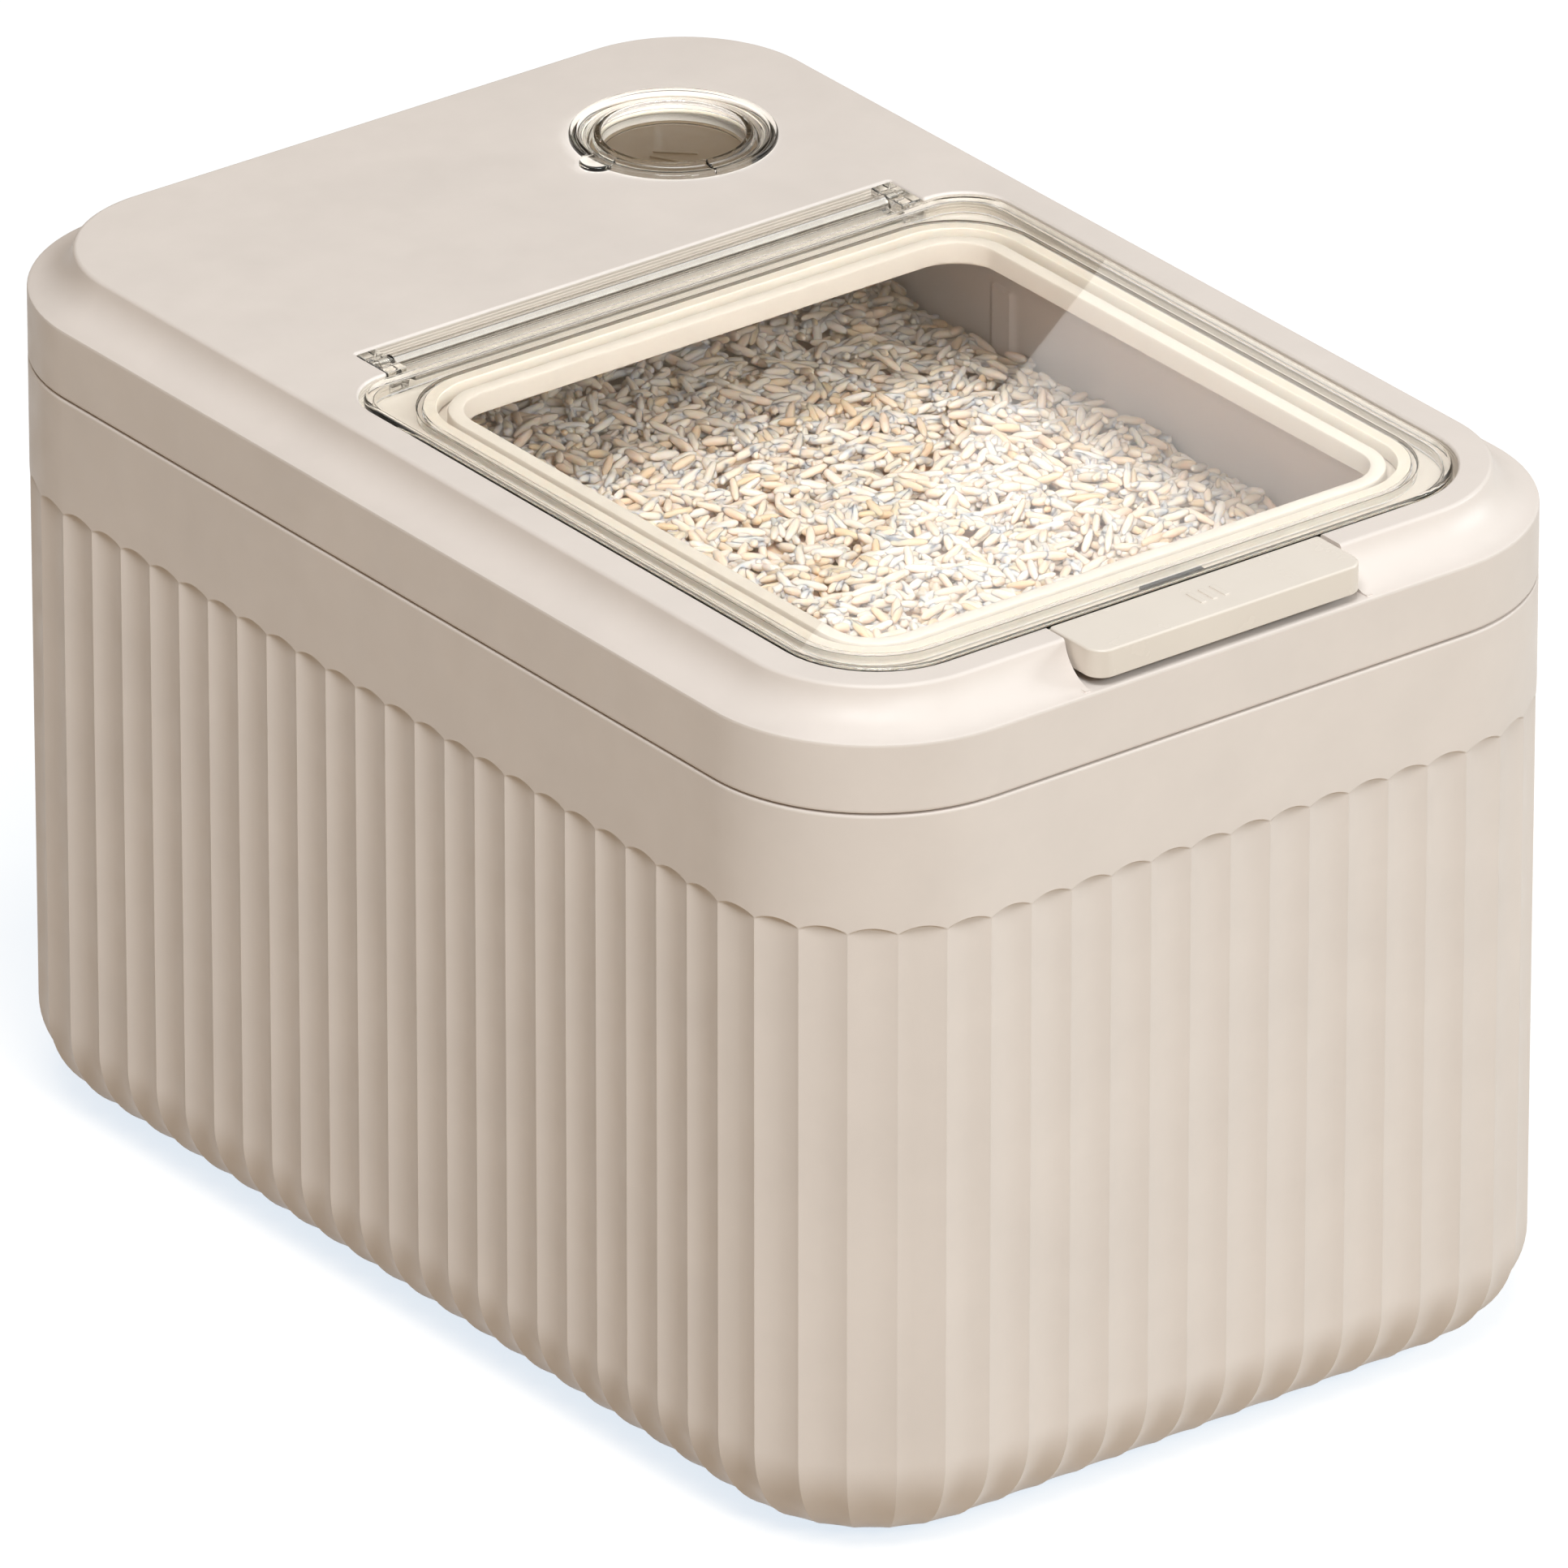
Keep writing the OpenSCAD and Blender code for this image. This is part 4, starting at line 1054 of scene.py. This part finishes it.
def rice_finish(name):
    """Polished grains, each a little different: translucent, chalky at the core, some with a warm end."""
    f = Finish(name)
    island = f.add("ShaderNodeNewGeometry").outputs["Random Per Island"]
    tint = f.ramp(island, [(0.0, (0.84, 0.61, 0.43)), (0.2, (0.90, 0.69, 0.56)), (0.7, (0.92, 0.76, 0.66)),
                           (1.0, (0.93, 0.80, 0.73))])
    chalk = f.ramp(f.noise(420.0, 3.0), [(0.35, (0.95, 0.93, 0.90)), (0.65, (1.0, 1.0, 1.0))])
    mix = f.add("ShaderNodeMix")
    mix.data_type = "RGBA"
    mix.blend_type = "MULTIPLY"
    mix.inputs[0].default_value = 1.0
    f.tree.links.new(tint, mix.inputs[6])
    f.tree.links.new(chalk, mix.inputs[7])
    shader = f.add("ShaderNodeBsdfPrincipled", Base_Color=mix.outputs[2], IOR=1.45)
    f.soften(shader, 0.85, (1.0, 0.78, 0.55), 2.4)
    shader.inputs["Specular IOR Level"].default_value = 0.25
    f.put(shader, "Roughness", f.span(f.noise(500.0, 2.0), 0.45, 0.60))
    f.put(shader, "Normal", f.bump(f.noise(900.0, 3.0), 0.18, 0.05))
    return f.done(shader)


def paper(name):
    """Bonded fibre of the desiccant sachet."""
    f = Finish(name)
    tint = f.ramp(f.noise(700.0, 6.0, 0.7), [(0.3, (0.72, 0.71, 0.68)), (0.7, (0.86, 0.85, 0.82))])
    shader = f.add("ShaderNodeBsdfPrincipled", Base_Color=tint)
    f.put(shader, "Roughness", f.span(f.noise(200.0), 0.75, 0.9))
    f.put(shader, "Normal", f.bump(f.noise(1100.0, 6.0, 0.7), 0.5, 0.08))
    return f.done(shader)


# ---------------------------------------------------------------- camera, light and floor
CAM_RIGHT = Vector((0.79422, -0.60764, 0.0))
CAM_UP = Vector((0.27129, 0.35459, 0.89481))
CAM_BACK = Vector((-0.54372, -0.71067, 0.44646))
CAM_TARGET = Vector((-23.75, -34.18, 131.1)) * MM
CAM_DISTANCE = 5.489


def aim(obj, place, towards):
    obj.location = place
    obj.rotation_euler = (Vector(towards) - Vector(place)).to_track_quat("-Z", "Y").to_euler()


def make_camera():
    data = bpy.data.cameras.new("camera")
    data.sensor_width = 36.0
    data.lens = 535.7
    data.clip_start = 0.1
    data.clip_end = 60.0
    camera = put_in_scene("camera", data)
    turn = Matrix((CAM_RIGHT, CAM_UP, CAM_BACK)).transposed()
    camera.matrix_world = Matrix.Translation(CAM_TARGET + CAM_BACK * CAM_DISTANCE) @ turn.to_4x4()
    bpy.context.scene.camera = camera


def lamp(name, place, towards, size, power, colour):
    data = bpy.data.lights.new(name, "AREA")
    data.shape = "SQUARE"
    data.size = size
    data.energy = power
    data.color = colour
    light = put_in_scene(name, data)
    # shadow rays already pass the clear pieces, so a lamp seen through them would count twice
    light.visible_transmission = False
    aim(light, place, towards)


def background_rays(tree):
    """1 for rays that the camera, gloss or clear plastic sends out, and 0 for rays that light a surface."""
    path = tree.nodes.new("ShaderNodeLightPath").outputs

    def math_node(operation, a, b):
        node = tree.nodes.new("ShaderNodeMath")
        node.operation = operation
        tree.links.new(a, node.inputs[0])
        if isinstance(b, bpy.types.NodeSocket):
            tree.links.new(b, node.inputs[1])
        else:
            node.inputs[1].default_value = b
        return node.outputs[0]

    seen = math_node("MAXIMUM", path["Is Camera Ray"], path["Is Glossy Ray"])
    seen = math_node("MAXIMUM", seen, path["Is Transmission Ray"])
    return math_node("MULTIPLY", seen, math_node("LESS_THAN", path["Diffuse Depth"], 0.5))


def make_light():
    """A key from the right that shapes the flutes, a front lamp that reaches the far rice, and a top lamp."""
    lamp("key", (3.5, -1.65, 1.5), (0, 0, 0.12), 1.0, 66.0, (0.86, 0.95, 1.0))
    lamp("front", (-0.7, -3.3, 2.3), (0, 0, 0.12), 0.8, 49.0, (0.88, 0.96, 1.0))
    lamp("top", (-1.3, -1.5, 3.5), (0, 0, 0.12), 1.6, 97.0, (0.94, 0.975, 1.0))
    f = Finish("studio", bpy.data.worlds.new("studio"))
    bpy.context.scene.world = f.material
    fill = f.add("ShaderNodeBackground", Color=(0.21, 0.165, 0.115, 1))
    white = f.add("ShaderNodeBackground", Color=(1, 1, 1, 1))
    f.done(f.mix(background_rays(f.tree), fill, white))


def card(name, points, colour):
    """Card that only gloss and clear plastic see."""
    mesh = bpy.data.meshes.new(name)
    mesh.from_pydata(points, [], [(0, 1, 2, 3)])
    obj = put_in_scene(name, mesh)
    for ray in ("camera", "diffuse", "volume_scatter", "shadow"):
        setattr(obj, "visible_" + ray, False)
    f = Finish(name)
    glow = f.add("ShaderNodeEmission", Color=(*colour, 1), Strength=1.0)
    mesh.materials.append(f.done(glow))


# ends of the slanted line, in mm on the clear lid
FLAG_LINE = ((94.9, -5.8), (-3.7, -71.1))
CARD_SIZE = 0.8
CARD_DISTANCE = 1.5
FLOOR_HALF = 6.0


def make_cards():
    """Two cards that meet in the slanted line across the clear lid, and walls that band its clear edges."""
    eye = CAM_TARGET + CAM_BACK * CAM_DISTANCE
    eye.z = 2 * TOP_Z * MM - eye.z
    ends = []
    for x, y in FLAG_LINE:
        on_lid = Vector((x, y, TOP_Z)) * MM
        ends.append(on_lid + (on_lid - eye).normalized() * CARD_DISTANCE)
    along = (ends[1] - ends[0]).normalized()
    across = along.cross(ends[0] - eye).normalized()
    middle = (ends[0] + ends[1]) / 2
    for name, reach, colour in (("flag", CARD_SIZE, (0.20, 0.165, 0.125)),
                                ("pale_card", -CARD_SIZE, (1.0, 0.98, 0.95))):
        plan = ((-CARD_SIZE, 0), (CARD_SIZE, 0), (CARD_SIZE, reach), (-CARD_SIZE, reach))
        card(name, [middle + along * a + across * b for a, b in plan], colour)
    far, low, high = 1.3, 0.02, 0.9
    plan = [(-far, -far), (far, -far), (far, far), (-far, far)]
    for k in range(4):
        (x0, y0), (x1, y1) = plan[k], plan[(k + 1) % 4]
        wall = [(x0, y0, low), (x1, y1, low), (x1, y1, high), (x0, y0, high)]
        card("low_wall_%d" % k, wall, (0.36, 0.30, 0.235))


def make_floor():
    """Pale floor that reads white where nothing shades it and keeps the bin's soft shadow."""
    half = FLOOR_HALF
    mesh = bpy.data.meshes.new("floor")
    plan = [(-half, -half, 0), (half, -half, 0), (half, half, 0), (-half, half, 0)]
    mesh.from_pydata(plan, [], [(0, 1, 2, 3)])
    floor = put_in_scene("floor", mesh)
    f = Finish("floor_white")
    diffuse = f.add("ShaderNodeBsdfDiffuse", Color=(0.42, 0.33, 0.23, 1))
    glow = f.add("ShaderNodeEmission", Color=(0.72, 0.80, 0.88, 1), Strength=1.0)
    none = f.add("ShaderNodeEmission", Color=(0, 0, 0, 1), Strength=0.0)
    pick = f.mix(background_rays(f.tree), none, glow)
    total = f.add("ShaderNodeAddShader")
    f.tree.links.new(diffuse.outputs[0], total.inputs[0])
    f.tree.links.new(pick.outputs[0], total.inputs[1])
    mesh.materials.append(f.done(total))


# ---------------------------------------------------------------- the object
CREAM = (0.80, 0.725, 0.675)
CREAM_PLASTIC = plastic("cream_plastic", CREAM, 0.42)
CREAM_GLOSS = plastic("cream_gloss", (0.82, 0.745, 0.665), 0.24, 0.02, 700.0, 0.05, 0.02)
# darker copy of the cream for the lid faces under the clear panel: painted shade
PAINTED_SHADE_CREAM = plastic("cream_painted_shade", (0.64, 0.565, 0.49), 0.5, 0.03, 800.0, 0.14, 0.03)
CREAM_INNER = plastic("cream_inner", (0.79, 0.72, 0.64), 0.5, 0.03, 800.0, 0.14, 0.03)
CLEAR = clear("clear_plastic", (0.985, 0.98, 0.965), 0.006, 0.02, 0.95)
CLEAR_EDGE = clear("clear_edge", (0.97, 0.96, 0.94), 0.02, 0.05, 0.5)
SILICONE = plastic("silicone", (0.74, 0.665, 0.575), 0.5, 0.02, 500.0, 0.15, 0.04, 0.3)
STEEL = steel("steel")
ACETAL = plastic("white_acetal", (0.80, 0.79, 0.77), 0.38, 0.02, 600.0, 0.10, 0.03, 0.15)
# dark brown for the dial disc: painted shade of the dial's inside
DIAL_SHADE_BROWN = plastic("taupe_plastic", (0.165, 0.115, 0.068), 0.36, 0.05, 800.0, 0.16, 0.03)
RUBBER = plastic("grey_rubber", (0.17, 0.165, 0.16), 0.72, 0.08, 500.0, 0.35, 0.06)
RICE = rice_finish("rice")
PAPER = paper("sachet_paper")

CAD_FINISHES = {
    "foot_pads": RUBBER,
    "lid_liner": CREAM_INNER,
    "lid_seal": SILICONE,
    "lid_screws": STEEL,
    "lid_catch": CLEAR,
    "hinge_pin": STEEL,
    "torsion_spring_left": STEEL,
    "torsion_spring_right": STEEL,
    "latch_slider": ACETAL,
    "latch_cover": CREAM_INNER,
    "latch_screws": STEEL,
    "dial_oring": SILICONE,
    "desiccant_box": CREAM_INNER,
    "desiccant_cap": CREAM_INNER,
    "desiccant_sachet": PAPER,
}


def dress_cad_nodes():
    """Gives each CAD node that stays in view its own finish."""
    for node, finish in CAD_FINISHES.items():
        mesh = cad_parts[node].data
        mesh.materials.clear()
        mesh.materials.append(finish)


make_camera()
make_light()
make_cards()
make_floor()
build_tub(CREAM_PLASTIC)
build_bulk(RICE)
build_grains(RICE)
build_lid(CREAM_PLASTIC, PAINTED_SHADE_CREAM)
build_panel(CLEAR, CLEAR_EDGE)
build_gasket(SILICONE)
build_hinge_caps(CLEAR)
build_dial(CLEAR, DIAL_SHADE_BROWN)
build_button(CREAM_GLOSS)
for post_side in (-1, 1):
    build_button_spring(post_side, STEEL)
dress_cad_nodes()
bpy.context.scene.view_settings.view_transform = "Standard"
